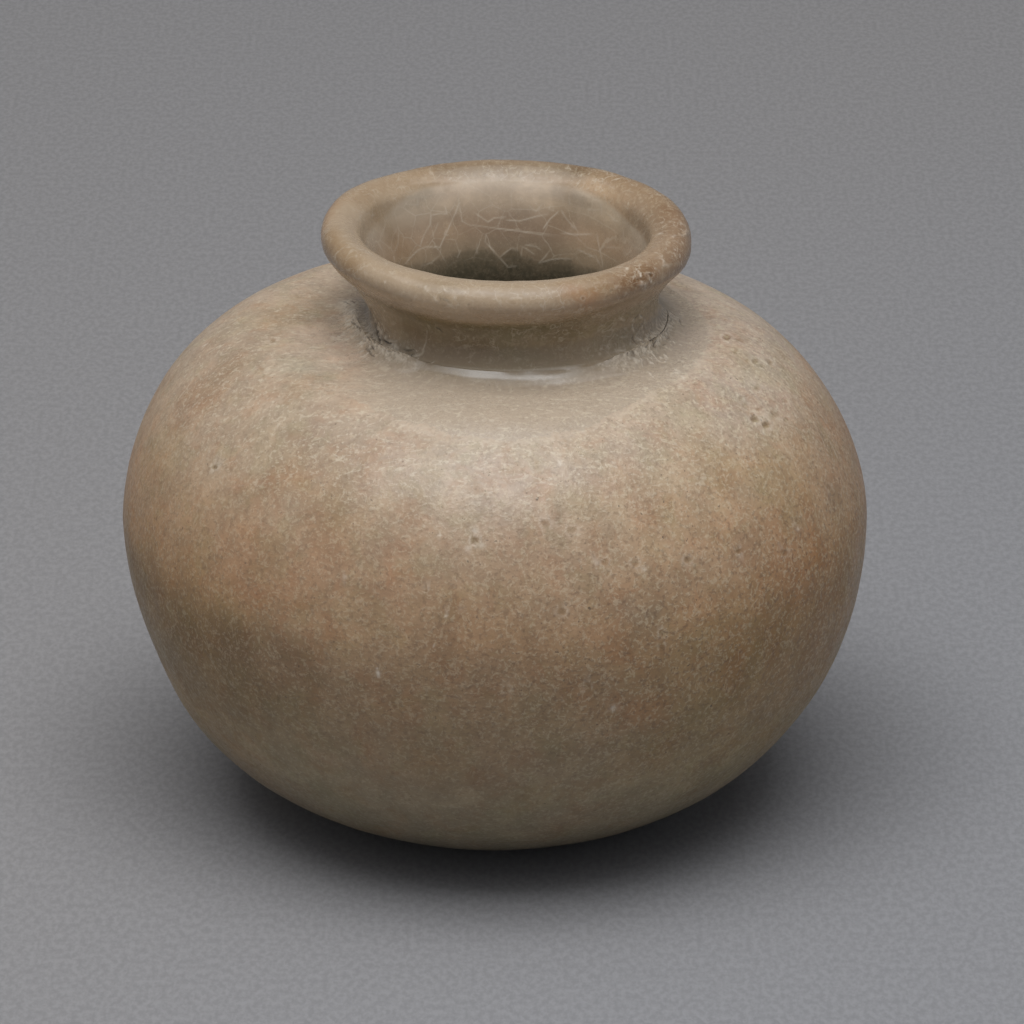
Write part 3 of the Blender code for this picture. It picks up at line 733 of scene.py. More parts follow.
def relief(points, s, a):
    """How far the real surface stands out of the turned form, in mm, and the masks that go with it."""
    count = len(points)
    out = np.zeros(count)
    outside = s <= CREST
    lip = bump(s, 0.5 * (LIP_S + CREST) + 1.0, 5.2)
    body = np.where(outside, ease(s, FOOT_S - 1.0, FOOT_S + 5.0) * (1.0 - lip), 0.0)
    out += body * (0.10 * noise_at(points, 1 / 13.0, 1) + 0.035 * noise_at(points, 1 / 4.5, 2))
    rings = np.column_stack([np.zeros(count), 0.012 * points[:, 0], points[:, 2] / 1.9])
    out += body * 0.022 * noise_at(rings, 1.0, 3)
    # The lip was finished by hand: it swells and thins on its way round
    round_lip = np.column_stack([np.cos(a) * 3.0, np.sin(a) * 3.0, s * 0.05])
    out += lip * (0.13 * noise_at(round_lip, 0.8, 4) + 0.05 * noise_at(round_lip, 2.6, 5))
    out += lip * (0.06 * noise_at(points, 1 / 3.4, 19) + 0.025 * noise_at(points, 1 / 1.5, 20))
    # Underneath, the lip tucks in with a blunt edge, higher up towards the right
    turn = np.degrees((a - FRONT + math.pi) % (2.0 * math.pi) - math.pi)
    edge = 116.4 + 2.6 * ease(turn, 10.0, 50.0) * ease(-turn, -120.0, -80.0) + 1.1 * noise_at(round_lip, 0.6, 17)
    sharp = 0.28 + 0.66 * bump(turn, -6.0, 32.0) + 0.25 * noise_at(round_lip, 0.9, 18)
    out += sharp * (0.32 * bump(s, edge + 1.3, 1.6) - 0.32 * bump(s, edge - 1.0, 1.5))
    # At its sides the top of the lip is fuller towards the mouth, and at the front it slopes outward
    side = 1.0 - bump(np.abs(turn), 180.0, 55.0)
    out += side * (0.22 * bump(s, CREST + 2.9, 1.0) - 0.07 * bump(s, CREST + 5.0, 1.3))
    out += (1.0 - side) * 0.16 * bump(s, CREST + 3.4, 1.3)
    out -= (0.24 * bump(turn, 0.0, 75.0) + 0.24 * bump(turn, -32.0, 26.0)) * bump(s, CREST - 0.2, 1.8)
    out += 0.42 * bump(turn, -12.0, 55.0) * bump(s, 120.2, 1.5)
    out += bump(s, CREST - 0.5, 3.0) * (0.44 * bump(turn, 122.0, 30.0) + 0.24 * bump(turn, 150.0, 22.0) + 0.24 * bump(turn, -118.0, 16.0))
    out += bump(s, CREST - 0.5, 3.0) * (0.24 * bump(np.abs(turn), 180.0, 18.0) - 0.06 * bump(turn, -135.0, 14.0))
    out += 0.20 * bump(turn, 108.0, 16.0) * bump(s, LIP_S + 1.0, 2.5)
    for middle, width, height in SWELL_SPOTS:
        index, gap = near_spot(points, middle, 2.5 * width)
        out[index] += height * np.exp(-((gap / width) ** 2))
    # Luting clay fills the corner between the shoulder and the neck, most at the sides
    beside = 0.75 * bump(turn, 56.0, 34.0) + 0.50 * bump(turn, -58.0, 34.0) + 0.25 * bump(np.abs(turn), 180.0, 80.0)
    out += (0.30 + 0.70 * ease(-np.abs(turn), -78.0, -40.0)) * (1.0 + 0.07 * bump(turn, -12.0, 13.0)) * LUTING(s)
    out += 0.25 * beside * ease(s, SHOULDER_S - 4.5, SHOULDER_S + 1.2) * ease(-s, -SHOULDER_S - 4.6, -SHOULDER_S - 2.4)
    out += bump(turn, -88.0, 30.0) * (0.35 * bump(s, FLARE_S - 0.8, 2.0) - 0.70 * bump(s, NECK_S - 0.4, 1.6))
    out += bump(s, SHOULDER_S + 1.0, 2.6) * (0.20 * beside * noise_at(points, 1 / 2.4, 6) + 0.05 * noise_at(points, 1 / 6.0, 15))
    masks = {name: np.zeros(count) for name in ("flakes", "crack", "pale", "pit", "craze", "deep", "collar", "luting")}
    for line, width, height, pale in MOUND_TRAILS:
        index, gap, _ = near_trail(points, line, 2.6 * width)
        index, gap = index[outside[index]], gap[outside[index]]
        lumpy = 0.20 * noise_at(points[index], 1 / 1.8, 21) + 0.10 * noise_at(points[index], 1.3, 22)
        out[index] += height * (1.0 + lumpy) * np.exp(-((gap / width) ** 2))
        ragged = gap * (1.0 + 0.35 * noise_at(points[index], 1.0, 23, 3))
        masks["luting"][index] = np.maximum(masks["luting"][index], pale * np.exp(-((ragged / (1.15 * width)) ** 3)))
    for middle, width, strength in CRUST_SPOTS:
        index, gap = near_spot(points, middle, 2.4 * width)
        index, gap = index[outside[index]], gap[outside[index]]
        if len(index) == 0:
            continue
        fine = noise_at(points[index], 1.7, 7, 4)
        coarse = noise_at(points[index], 0.6, 8, 2)
        fall = strength * np.exp(-((gap / width) ** 2))
        flaky = np.clip((fine * 1.1 + coarse * 0.7 + fall * 1.1 - 0.60) * 2.6, 0.0, 1.0)
        masks["flakes"][index] = np.maximum(masks["flakes"][index], flaky)
        out[index] += fall * (0.09 * fine + 0.11 * flaky)
        gaps = np.clip((-fine - 0.20) * 3.6, 0.0, 1.0) * np.clip(1.6 * fall - 0.3, 0.0, 1.0)
        masks["crack"][index] = np.maximum(masks["crack"][index], 0.40 * gaps)
    for line, width, height, dark, pale in LINE_TRAILS:
        index, gap, place = near_trail(points, line, 1.0)
        index, gap, place = index[outside[index]], gap[outside[index]], place[outside[index]]
        if len(index) == 0:
            continue
        wobble = 0.06 * noise_at(points[index], 2.4, 9) + 0.03 * noise_at(points[index], 7.0, 10)
        taper = np.sin(math.pi * np.clip(place * 0.90 + 0.08, 0.0, 1.0)) ** 0.6
        shape = np.exp(-(((gap + wobble) / (width * (0.45 + 0.6 * taper))) ** 2)) * taper
        broken = np.clip(0.75 + 0.9 * noise_at(points[index], 1.6, 12), 0.25, 1.0)
        out[index] += height * shape * (1.0 if height < 0.0 else broken)
        masks["crack"][index] = np.maximum(masks["crack"][index], np.clip(shape * 1.3, 0.0, 1.0) * dark)
        masks["pale"][index] = np.maximum(masks["pale"][index], shape * broken * pale)
    for middle, width, depth, dark in PIT_SPOTS:
        index, gap = near_spot(points, middle, 5.0 * width)
        if len(index) == 0:
            continue
        offset = points[index] - middle
        gap = np.hypot(offset @ np.array(RIGHT), 1.1 * (offset @ np.array(UP)))
        ragged = gap * (1.0 + 0.30 * noise_at(points[index], 0.8 / width, 11))
        out[index] += depth * (0.15 * bump(ragged, 1.45 * width, 0.40 * width) - np.exp(-((ragged / width) ** 3)))
        masks["pit"][index] = np.maximum(masks["pit"][index], dark * np.exp(-((ragged / (1.1 * width)) ** 4)))
        masks["pale"][index] = np.maximum(masks["pale"][index], 0.40 * dark * bump(ragged, 1.6 * width, 0.35 * width))
    for middle, width, pale in SPECK_SPOTS:
        index, gap = near_spot(points, middle, 3.0 * width)
        if len(index) == 0:
            continue
        ragged = gap * (1.0 + 0.5 * noise_at(points[index], 0.9 / width, 13))
        masks["pale"][index] = np.maximum(masks["pale"][index], pale * np.exp(-((ragged / width) ** 2)))
    for line, strength in CRAZE_TRAILS:
        index, gap, place = near_trail(points, line, 0.6)
        if len(index) == 0:
            continue
        taper = np.clip(np.minimum(place, 1.0 - place) * 6.0 + 0.35, 0.0, 1.0)
        faint = np.clip(0.8 + 0.7 * noise_at(points[index], 0.8, 14), 0.3, 1.0)
        shape = np.exp(-((gap / 0.085) ** 2)) * taper * strength * faint
        masks["craze"][index] = np.maximum(masks["craze"][index], shape)
        out[index] += 0.012 * shape
    inner = s > CREST
    beyond = s[inner] - DARK_S(a[inner])
    masks["deep"][inner] = 0.55 * ease(beyond, -0.20, 0.20) + 0.45 * ease(beyond, 0.1, 2.4)
    masks["collar"] = np.where(outside, np.clip(s - COLLAR_EDGE(a), -9.0, 9.0), 9.0)  # mm above the collar's edge
    tint = np.ones((count, 3))
    for line, width, colour, strength, ragged in STAIN_AND_PAINTED_LIGHT_TRAILS:
        index, gap, place = near_trail(points, line, 2.6 * width)
        if len(index) == 0:
            continue
        uneven = gap + width * ragged * noise_at(points[index], 1.3 / width, 16, 3)
        share = strength * np.exp(-((np.maximum(uneven, 0.0) / width) ** 2))
        tint[index] *= 1.0 + share[:, None] * (np.array(colour) - 1.0)
    return out, masks, tint


def sheet_grid():
    """The skin laid out flat: x is the place on the profile, y the azimuth from the seam at the back."""
    zones = (
        (0.0, FOOT_S - 1.0, 3.2), (FOOT_S - 1.0, FOOT_S + 1.6, 0.45), (FOOT_S + 1.6, WIDEST_S, 1.60),
        (WIDEST_S, SHOULDER_S - 9.0, 1.35), (SHOULDER_S - 9.0, SHOULDER_S - 1.2, 0.75), (SHOULDER_S - 1.2, SHOULDER_S + 3.2, 0.34),
        (SHOULDER_S + 3.2, FLARE_S, 0.50),
        (FLARE_S, MOUTH_S, 0.48), (MOUTH_S, THROAT_S + 1.0, 0.60), (THROAT_S + 1.0, VAULT_S, 1.5), (VAULT_S, END_S, 4.5),
    )
    s = [0.0]
    for start, end, space in zones:
        steps = max(1, round((end - start) / space))
        s += list(start + (end - start) * (np.arange(steps) + 1) / steps)
    columns = 288
    t = np.linspace(0.0, 1.0, columns + 1)
    a = 2.0 * math.pi * t + 0.24 * np.sin(2.0 * math.pi * t)  # closer together at the front
    return np.array(s), a


def refine(bm, passes):
    """Halves the cells round the small features, once for each pass of (trails, spots), each with its reach in mm."""
    for trails, spots in passes:
        bm.verts.ensure_lookup_table()
        flat = np.array([(f.calc_center_median().x, f.calc_center_median().y) for f in bm.faces])
        points = turned(flat[:, 0], flat[:, 1] + 0.5 * math.pi)
        wanted = np.zeros(len(points), dtype=bool)
        for line, reach in trails:
            wanted[near_trail(points, line, reach)[0]] = True
        for middle, reach in spots:
            wanted[near_spot(points, middle, reach)[0]] = True
        bm.faces.ensure_lookup_table()
        edges = {e for i in np.nonzero(wanted)[0] for e in bm.faces[int(i)].edges}
        # Both sides of the seam are cut alike, so that they weld
        seam = ({}, {})
        for edge in bm.edges:
            ys = [v.co.y for v in edge.verts]
            for side, turn in enumerate((0.0, 2.0 * math.pi)):
                if max(abs(y - turn) for y in ys) < 1e-5:
                    seam[side][tuple(sorted(round(v.co.x, 4) for v in edge.verts))] = edge
        for here, there in (seam, seam[::-1]):
            edges |= {there[key] for key, edge in here.items() if edge in edges and key in there}
        bmesh.ops.subdivide_edges(bm, edges=list(edges), cuts=1, use_grid_fill=True)
    odd = [f for f in bm.faces if len(f.verts) > 4]
    bmesh.ops.triangulate(bm, faces=odd)


def fine_passes():
    dark = trail(DARK_EDGE)
    lines = [item[0] for item in LINE_TRAILS]
    craze = [item[0] for item in CRAZE_TRAILS]
    first = [(line, 0.60 if k < len(LINES) else 0.45) for k, line in enumerate(lines)]
    first += [(line, 0.40) for line in craze] + [(dark, 0.40)]
    second = [(line, 0.34 if k < len(LINES) else 0.22) for k, line in enumerate(lines)]
    second += [(line, 0.18) for line in craze] + [(dark, 0.18)]
    third = [(line, 0.13) for line in lines[: len(LINES)]]
    spots = [(middle, 2.0 * width + 0.3) for middle, width, _, _ in PIT_SPOTS]
    spots += [(middle, 1.5 * width + 0.3) for middle, width, _ in SPECK_SPOTS]
    small = [(middle, 1.5 * width + 0.1) for middle, width, _, _ in PIT_SPOTS]
    small += [(middle, 1.3 * width + 0.1) for middle, width, _ in SPECK_SPOTS]
    tiny = [(middle, 1.4 * width) for middle, width, _, _ in PIT_SPOTS]
    tiny += [(middle, 1.2 * width) for middle, width, _ in SPECK_SPOTS]
    return (
        (first, spots + [(middle, 1.10 * width) for middle, width, _ in CRUST_SPOTS]),
        (second, small + [(middle, 0.70 * width) for middle, width, _ in CRUST_SPOTS]),
        (third, tiny),
    )


def make_jar():
    s, a = sheet_grid()
    rows, columns = len(s), len(a)
    bm = bmesh.new()
    verts = [bm.verts.new((s[i], a[j], 0.0)) for i in range(rows) for j in range(columns)]
    for i in range(rows - 1):
        for j in range(columns - 1):
            k = i * columns + j
            bm.faces.new((verts[k], verts[k + 1], verts[k + columns + 1], verts[k + columns]))
    refine(bm, fine_passes())
    flat = np.array([v.co for v in bm.verts])
    ss, aa = flat[:, 0], flat[:, 1] + 0.5 * math.pi
    points = turned(ss, aa)
    normals = facing(turned, ss, aa)
    out, masks, tint = relief(points, ss, aa)
    points = points + normals * out[:, None]
    picture = bm.loops.layers.uv.new("OFBake")
    for face in bm.faces:
        middle = face.calc_center_median()
        for loop in face.loops:
            loop[picture].uv = on_picture(loop.vert.co.x, loop.vert.co.y, middle.x, middle.y)
    layers = {name: bm.verts.layers.float.new(name) for name in masks}
    place = bm.verts.layers.float.new("place")
    stain_and_painted_light = bm.verts.layers.float_color.new("tint")
    for i, vert in enumerate(bm.verts):
        for name, values in masks.items():
            vert[layers[name]] = float(values[i])
        vert[place] = float(ss[i])
        vert[stain_and_painted_light] = (*tint[i], 1.0)
        vert.co = points[i] * MM
    bmesh.ops.remove_doubles(bm, verts=bm.verts, dist=2e-7)
    bmesh.ops.dissolve_degenerate(bm, edges=bm.edges, dist=1e-8)
    bmesh.ops.recalc_face_normals(bm, faces=bm.faces)
    mesh = bpy.data.meshes.new("glazed_jar")
    bm.to_mesh(mesh)
    bm.free()
    mesh.shade_smooth()
    jar = bpy.data.objects.new("glazed_jar", mesh)
    bpy.context.scene.collection.objects.link(jar)
    return jar


def on_picture(x, y, middle, turn):
    """Lays the skin out on a square: the front half large, the back half below it, the rest in small bands."""
    gap = 0.006
    if middle > THROAT_S + 2.0:  # inside, below the throat
        return gap + (x - THROAT_S - 2.0) / (END_S - THROAT_S - 2.0) * 0.10, 0.012 + y / (2.0 * math.pi) * 0.085
    if middle < FOOT_S - 1.0:  # underside, as a disc
        radius = 0.045 * x / (FOOT_S - 1.0)
        return 0.17 + radius * math.cos(y), 0.055 + radius * math.sin(y)
    if middle > CREST:  # mouth and throat
        return 0.23 + 0.764 * y / (2.0 * math.pi), 0.012 + (x - CREST) / (THROAT_S + 2.0 - CREST) * 0.10
    share = (x - FOOT_S + 1.0) / (CREST - FOOT_S + 1.0)
    half = math.pi / 2.0
    if abs(turn - math.pi) < half:  # the front half
        return gap + (1.0 - 2.0 * gap) * (y - half) / math.pi, 0.435 + 0.555 * share
    back = y + half if turn < math.pi else y - 3.0 * half
    return gap + (1.0 - 2.0 * gap) * back / math.pi, 0.125 + 0.30 * share


# ---------------------------------------------------------------- materials

class Graph:
    """Short names for the nodes that a material is made of."""

    def __init__(self, name):
        self.material = bpy.data.materials.new(name)
        self.material.use_nodes = True
        self.tree = self.material.node_tree
        self.shader = self.tree.nodes["Principled BSDF"]

    def put(self, socket, value):
        if isinstance(value, bpy.types.NodeSocket):
            self.tree.links.new(value, socket)
        elif isinstance(value, (tuple, list)) and len(value) == 3 and socket.type == "RGBA":
            socket.default_value = (*value, 1.0)
        else:
            socket.default_value = value

    def math(self, kind, a, b=0.0, c=0.0, clamp=False):
        node = self.tree.nodes.new("ShaderNodeMath")
        node.operation, node.use_clamp = kind, clamp
        for socket, value in zip(node.inputs, (a, b, c)):
            self.put(socket, value)
        return node.outputs[0]

    def vector(self, kind, a, b=None, scale=None):
        node = self.tree.nodes.new("ShaderNodeVectorMath")
        node.operation = kind
        self.put(node.inputs[0], a)
        if b is not None:
            self.put(node.inputs[1], b)
        if scale is not None:
            self.put(node.inputs["Scale"], scale)
        return node.outputs["Value"] if kind in ("LENGTH", "DISTANCE", "DOT_PRODUCT") else node.outputs["Vector"]

    def noise(self, at, scale, detail=2.0, rough=0.5, warp=0.0, colour=False):
        node = self.tree.nodes.new("ShaderNodeTexNoise")
        self.put(node.inputs["Vector"], at)
        for name, value in (("Scale", scale), ("Detail", detail), ("Roughness", rough), ("Distortion", warp)):
            self.put(node.inputs[name], value)
        return node.outputs["Color" if colour else "Fac"]

    def voronoi(self, at, scale, feature="F1", output="Distance", jitter=1.0):
        """Cells over the first two axes."""
        node = self.tree.nodes.new("ShaderNodeTexVoronoi")
        node.voronoi_dimensions = "2D"
        node.feature = feature
        self.put(node.inputs["Vector"], at)
        self.put(node.inputs["Scale"], scale)
        self.put(node.inputs["Randomness"], jitter)
        return node.outputs[output]

    def ramp(self, value, *stops, smooth=True):
        """A curve of numbers or colours: stops of (place, number or colour)."""
        node = self.tree.nodes.new("ShaderNodeValToRGB")
        bar = node.color_ramp
        bar.interpolation = "EASE" if smooth else "LINEAR"
        while len(bar.elements) < len(stops):
            bar.elements.new(0.5)
        for element, (place, colour) in zip(bar.elements, stops):
            element.position = place
        for element, (place, colour) in zip(bar.elements, stops):
            element.color = (*colour, 1.0) if isinstance(colour, tuple) else (colour, colour, colour, 1.0)
        self.put(node.inputs["Fac"], value)
        return node.outputs["Color"]

    def span(self, value, low, high, out_low=0.0, out_high=1.0, smooth=True):
        """Maps low..high to out_low..out_high, level outside."""
        node = self.tree.nodes.new("ShaderNodeMapRange")
        node.interpolation_type = "SMOOTHSTEP" if smooth else "LINEAR"
        for socket, item in zip(node.inputs, (value, low, high, out_low, out_high)):
            self.put(socket, item)
        return node.outputs["Result"]

    def mix(self, share, a, b, kind="MIX"):
        node = self.tree.nodes.new("ShaderNodeMix")
        node.data_type, node.blend_type = "RGBA", kind
        self.put(node.inputs["Factor"], share)
        self.put(node.inputs[6], a)
        self.put(node.inputs[7], b)
        return node.outputs[2]

    def mask(self, name):
        node = self.tree.nodes.new("ShaderNodeAttribute")
        node.attribute_name = name
        return node.outputs["Fac"]

    def axes(self, at):
        node = self.tree.nodes.new("ShaderNodeSeparateXYZ")
        self.put(node.inputs[0], at)
        return node.outputs[0], node.outputs[1], node.outputs[2]

    def join(self, x, y, z=0.0):
        node = self.tree.nodes.new("ShaderNodeCombineXYZ")
        for socket, value in zip(node.inputs, (x, y, z)):
            self.put(socket, value)
        return node.outputs[0]

    def millimetres(self):
        node = self.tree.nodes.new("ShaderNodeTexCoord")
        return self.vector("SCALE", node.outputs["Object"], scale=1000.0)

    def relief(self, height, strength, distance):
        node = self.tree.nodes.new("ShaderNodeBump")
        self.put(node.inputs["Strength"], strength)
        self.put(node.inputs["Distance"], distance)
        self.put(node.inputs["Height"], height)
        return node.outputs["Normal"]


INSIDE_S = [at_pixel(500.0, y)[1] for y in (185.0, 200.0, 215.0, 230.0, 245.0, 262.0)]


def glaze():
    """Worn celadon glaze: satin and flecked on the belly, smoother on the collar, glossy and crazed in the mouth."""
    g = Graph("worn_celadon_glaze")
    at = g.millimetres()
    x, y, z = g.axes(at)
    place = g.mask("place")
    collar = g.mask("collar")
    neck = g.span(place, SHOULDER_S - 1.0, SHOULDER_S + 2.5)
    inner = g.span(y, 6.0, 16.0, 4.5, 2.6)
    inside = g.span(g.math("SUBTRACT", place, inner), CREST, CREST + 0.8)
    grain = g.noise(at, 1.85, 2.0, 0.60, colour=True)
    seven, eight, nine = g.axes(grain)
    # Broad zones of colour by height, with wandering edges. The lowest stops are darkened as painted shade under the
    # belly.
    clouds = g.noise(at, 0.085, 3.0, 0.55, colour=True)
    one, two, three = g.axes(clouds)
    wander = g.math("MULTIPLY", g.math("SUBTRACT", one, 0.5), 9.0)
    level = g.math("DIVIDE", g.math("ADD", z, wander), 70.0)
    colour = g.ramp(
        level,
        (2.0 / 70, (0.205, 0.175, 0.127)),
        (8.0 / 70, (0.258, 0.210, 0.138)),
        (16.0 / 70, (0.350, 0.270, 0.164)),
        (22.0 / 70, (0.355, 0.254, 0.148)),
        (28.0 / 70, (0.362, 0.246, 0.138)),
        (34.0 / 70, (0.360, 0.238, 0.136)),
        (40.0 / 70, (0.410, 0.266, 0.152)),
        (46.0 / 70, (0.425, 0.292, 0.186)),
        (52.0 / 70, (0.438, 0.320, 0.218)),
        (60.0 / 70, (0.472, 0.367, 0.272)),
        smooth=False,
    )
    # The flanks: warmer, and darker and more olive low on the left; greyish pink high on the right
    flank = g.math("MULTIPLY", g.span(g.math("ABSOLUTE", x), 20.0, 38.0), g.span(z, 54.0, 46.0))
    colour = g.mix(flank, colour, (0.96, 0.89, 0.82), "MULTIPLY")
    left = g.math("MULTIPLY", g.span(x, -12.0, -38.0), g.math("MULTIPLY", g.span(z, 18.0, 26.0), g.span(z, 40.0, 34.0)))
    colour = g.mix(left, colour, (0.72, 0.74, 0.68), "MULTIPLY")
    low = g.math("MAXIMUM", g.span(x, -24.0, -38.0), g.span(x, 4.0, 28.0))
    low = g.math("MULTIPLY", low, g.math("MULTIPLY", g.span(z, 6.0, 20.0), g.span(z, 44.0, 34.0)))
    colour = g.mix(low, colour, (0.98, 0.955, 0.79), "MULTIPLY")
    high = g.math("MULTIPLY", g.span(x, -26.0, -38.0), g.math("MULTIPLY", g.span(z, 38.0, 46.0), g.span(z, 54.0, 48.0)))
    colour = g.mix(high, colour, (1.10, 1.12, 1.12), "MULTIPLY")
    right = g.math("MULTIPLY", g.span(x, 10.0, 26.0), g.span(z, 52.0, 58.0))
    colour = g.mix(g.math("MULTIPLY", right, 0.70), colour, (0.500, 0.400, 0.320))
    # Clouds of reddish brown and of olive, large and small
    patch = g.noise(at, 0.24, 3.0, 0.70, 0.4, colour=True)
    four, five, six = g.axes(patch)
    above = g.math("ADD", collar, g.math("MULTIPLY", g.math("SUBTRACT", four, 0.5), 3.0))
    above = g.math("ADD", above, g.math("MULTIPLY", g.math("SUBTRACT", seven, 0.5), 1.6))
    fade = g.math("MULTIPLY", g.span(x, -21.0, -10.0), g.span(x, 30.0, 22.0, 0.5, 1.0))
    collar = g.math("MULTIPLY", g.span(above, -0.15, 0.35), g.math("MAXIMUM", fade, neck))
    rim = g.math("MULTIPLY", g.span(g.math("ABSOLUTE", g.math("ADD", above, 0.35)), 0.75, 0.15), g.span(five, 0.40, 0.56))
    rim = g.math("MULTIPLY", rim, fade)
    soft = g.math("MULTIPLY", g.math("SUBTRACT", 1.0, collar), g.math("SUBTRACT", 1.0, neck))
    red = g.math("ADD", g.span(two, 0.50, 0.68, 0.0, 0.55), g.span(four, 0.49, 0.68, 0.0, 0.65))
    colour = g.mix(g.math("MULTIPLY", red, soft, clamp=True), colour, (0.96, 0.84, 0.77), "MULTIPLY")
    green = g.math("ADD", g.span(three, 0.48, 0.66, 0.0, 0.55), g.span(five, 0.49, 0.68, 0.0, 0.65))
    colour = g.mix(g.math("MULTIPLY", green, soft, clamp=True), colour, (0.92, 0.97, 0.90), "MULTIPLY")
    lift = g.span(six, 0.30, 0.72, 0.90, 1.14)
    colour = g.vector("SCALE", colour, scale=lift)
    colour = g.mix(g.math("MULTIPLY", collar, 0.75), colour, (0.455, 0.378, 0.295))
    # The neck, the lip and the mouth. At the front middle the neck is darkened as painted shade under the lip.
    front = g.math("MULTIPLY", g.span(y, 0.0, -8.0), g.span(g.math("ABSOLUTE", g.math("ADD", x, 1.5)), 15.0, 7.0))
    colour = g.mix(neck, colour, g.mix(front, (0.345, 0.262, 0.168), (0.255, 0.196, 0.116)))
    olive = g.span(six, 0.42, 0.62)
    colour = g.mix(g.math("MULTIPLY", neck, g.math("MULTIPLY", olive, 0.5)), colour, (0.84, 0.90, 0.76), "MULTIPLY")
    lip = g.mix(g.span(x, 5.0, 17.0), (0.430, 0.328, 0.226), (0.375, 0.270, 0.178))
    colour = g.mix(g.span(place, FLARE_S + 0.6, FLARE_S + 2.8), colour, lip)
    a, b, c, d, e, f = [(item - CREST) / 20.0 for item in INSIDE_S]
    # The first stops, inside the back of the lip, are lifted as a painted highlight
    throat = g.ramp(
        g.math("DIVIDE", g.math("SUBTRACT", place, CREST), 20.0),
        (a, (0.560, 0.465, 0.355)),
        (b, (0.530, 0.425, 0.315)),
        (c, (0.375, 0.280, 0.196)),
        (d, (0.290, 0.207, 0.138)),
        (e, (0.270, 0.202, 0.134)),
        (f, (0.260, 0.196, 0.130)),
        smooth=False,
    )
    throat = g.vector("SCALE", throat, scale=g.span(five, 0.34, 0.66, 0.92, 1.08, False))
    aside = g.span(g.math("ABSOLUTE", g.math("SUBTRACT", x, 1.0)), 5.0, 10.0)
    throat = g.vector("SCALE", throat, scale=g.math("SUBTRACT", 1.0, g.math("MULTIPLY", aside, g.span(place, MOUTH_S + 4.5, MOUTH_S + 1.0, -0.28, 0.15))))
    flat = g.join(g.math("ADD", x, g.math("ADD", g.math("MULTIPLY", y, 0.5), g.math("MULTIPLY", four, 2.0))), place)
    net = g.voronoi(flat, 0.36, "DISTANCE_TO_EDGE")
    net = g.math("MULTIPLY", g.span(net, 0.036, 0.012), g.span(y, 1.0, -3.0, 0.65, 1.0))
    net = g.math("MULTIPLY", net, g.span(six, 0.40, 0.56, 0.25, 1.0))
    throat = g.mix(g.math("MULTIPLY", net, 0.42), throat, (0.64, 0.56, 0.45))
    throat = g.mix(g.mask("deep"), throat, g.mix(g.span(nine, 0.35, 0.65), (0.105, 0.090, 0.060), (0.150, 0.122, 0.080)))
    colour = g.mix(inside, colour, throat)
    # Stains and glaze that burnt orange where it is thin, with painted highlights, painted light and painted shade
    stain_and_painted_light = g.tree.nodes.new("ShaderNodeAttribute")
    stain_and_painted_light.attribute_name = "tint"
    colour = g.mix(1.0, colour, stain_and_painted_light.outputs["Color"], "MULTIPLY")
    # Fine flecks: short pale fibres that run every way, dark grains between them, few black dots
    matter = g.math("MULTIPLY", g.span(collar, 0.0, 1.0, 1.0, 0.55), g.span(neck, 0.0, 1.0, 1.0, 0.90))
    matter = g.math("MULTIPLY", matter, g.span(z, 12.0, 32.0, 0.52, 0.80))
    matter = g.math("MULTIPLY", matter, g.span(x, -14.0, 24.0, 0.90, 1.25))
    matter = g.math("MULTIPLY", matter, g.span(inside, 0.0, 1.0, 1.0, 0.30))
    fibre = g.noise(at, 0.86, 2.0, 0.68, 0.9)
    fibre = g.span(g.math("ABSOLUTE", g.math("SUBTRACT", fibre, 0.5)), 0.085, 0.012)
    light = g.math("MULTIPLY", fibre, g.span(seven, 0.44, 0.58))
    light = g.math("MULTIPLY", light, g.math("ADD", matter, g.math("MULTIPLY", right, 0.3)))
    colour = g.mix(g.math("MULTIPLY", light, 0.36), colour, (0.700, 0.600, 0.430))
    dark = g.math("MULTIPLY", g.math("MULTIPLY", g.span(eight, 0.52, 0.68), g.span(z, 40.0, 56.0, 1.0, 0.6)), matter)
    colour = g.mix(g.math("MULTIPLY", dark, 0.48), colour, (0.165, 0.105, 0.065))
    dots = g.math("MULTIPLY", g.span(nine, 0.685, 0.725), g.span(six, 0.42, 0.54))
    colour = g.mix(g.math("MULTIPLY", dots, g.math("MULTIPLY", matter, 0.7)), colour, (0.08, 0.060, 0.042))
    # Fine pale veins in the glaze of the collar, neck and lip
    vein = g.noise(g.vector("ADD", at, (9.0, 31.0, 4.0)), 0.46, 2.0, 0.60, 0.5)
    vein = g.span(g.math("ABSOLUTE", g.math("SUBTRACT", vein, 0.5)), 0.022, 0.004)
    vein = g.math("MULTIPLY", vein, g.math("MULTIPLY", g.span(five, 0.44, 0.56), g.math("MAXIMUM", collar, neck)))
    vein = g.math("MULTIPLY", vein, g.math("SUBTRACT", 1.0, inside))
    colour = g.mix(g.math("MULTIPLY", vein, g.span(x, 2.0, 14.0, 0.28, 0.42)), colour, (0.66, 0.58, 0.46))
    # Short pale dashes that lie level, on the shoulder
    dash = g.noise(g.join(g.math("MULTIPLY", x, 0.22), g.math("MULTIPLY", y, 0.7), z), 1.0, 1.5, 0.6, 0.7)
    dash = g.span(g.math("ABSOLUTE", g.math("SUBTRACT", dash, 0.5)), 0.040, 0.008)
    dash = g.math("MULTIPLY", dash, g.math("MULTIPLY", g.span(seven, 0.44, 0.56), g.span(z, 46.0, 57.0)))
    dash = g.math("MULTIPLY", dash, g.math("SUBTRACT", 1.0, neck))
    colour = g.mix(g.math("MULTIPLY", dash, 0.34), colour, (0.72, 0.64, 0.50))
    colour = g.mix(g.math("MULTIPLY", rim, 0.42), colour, (0.640, 0.530, 0.420))
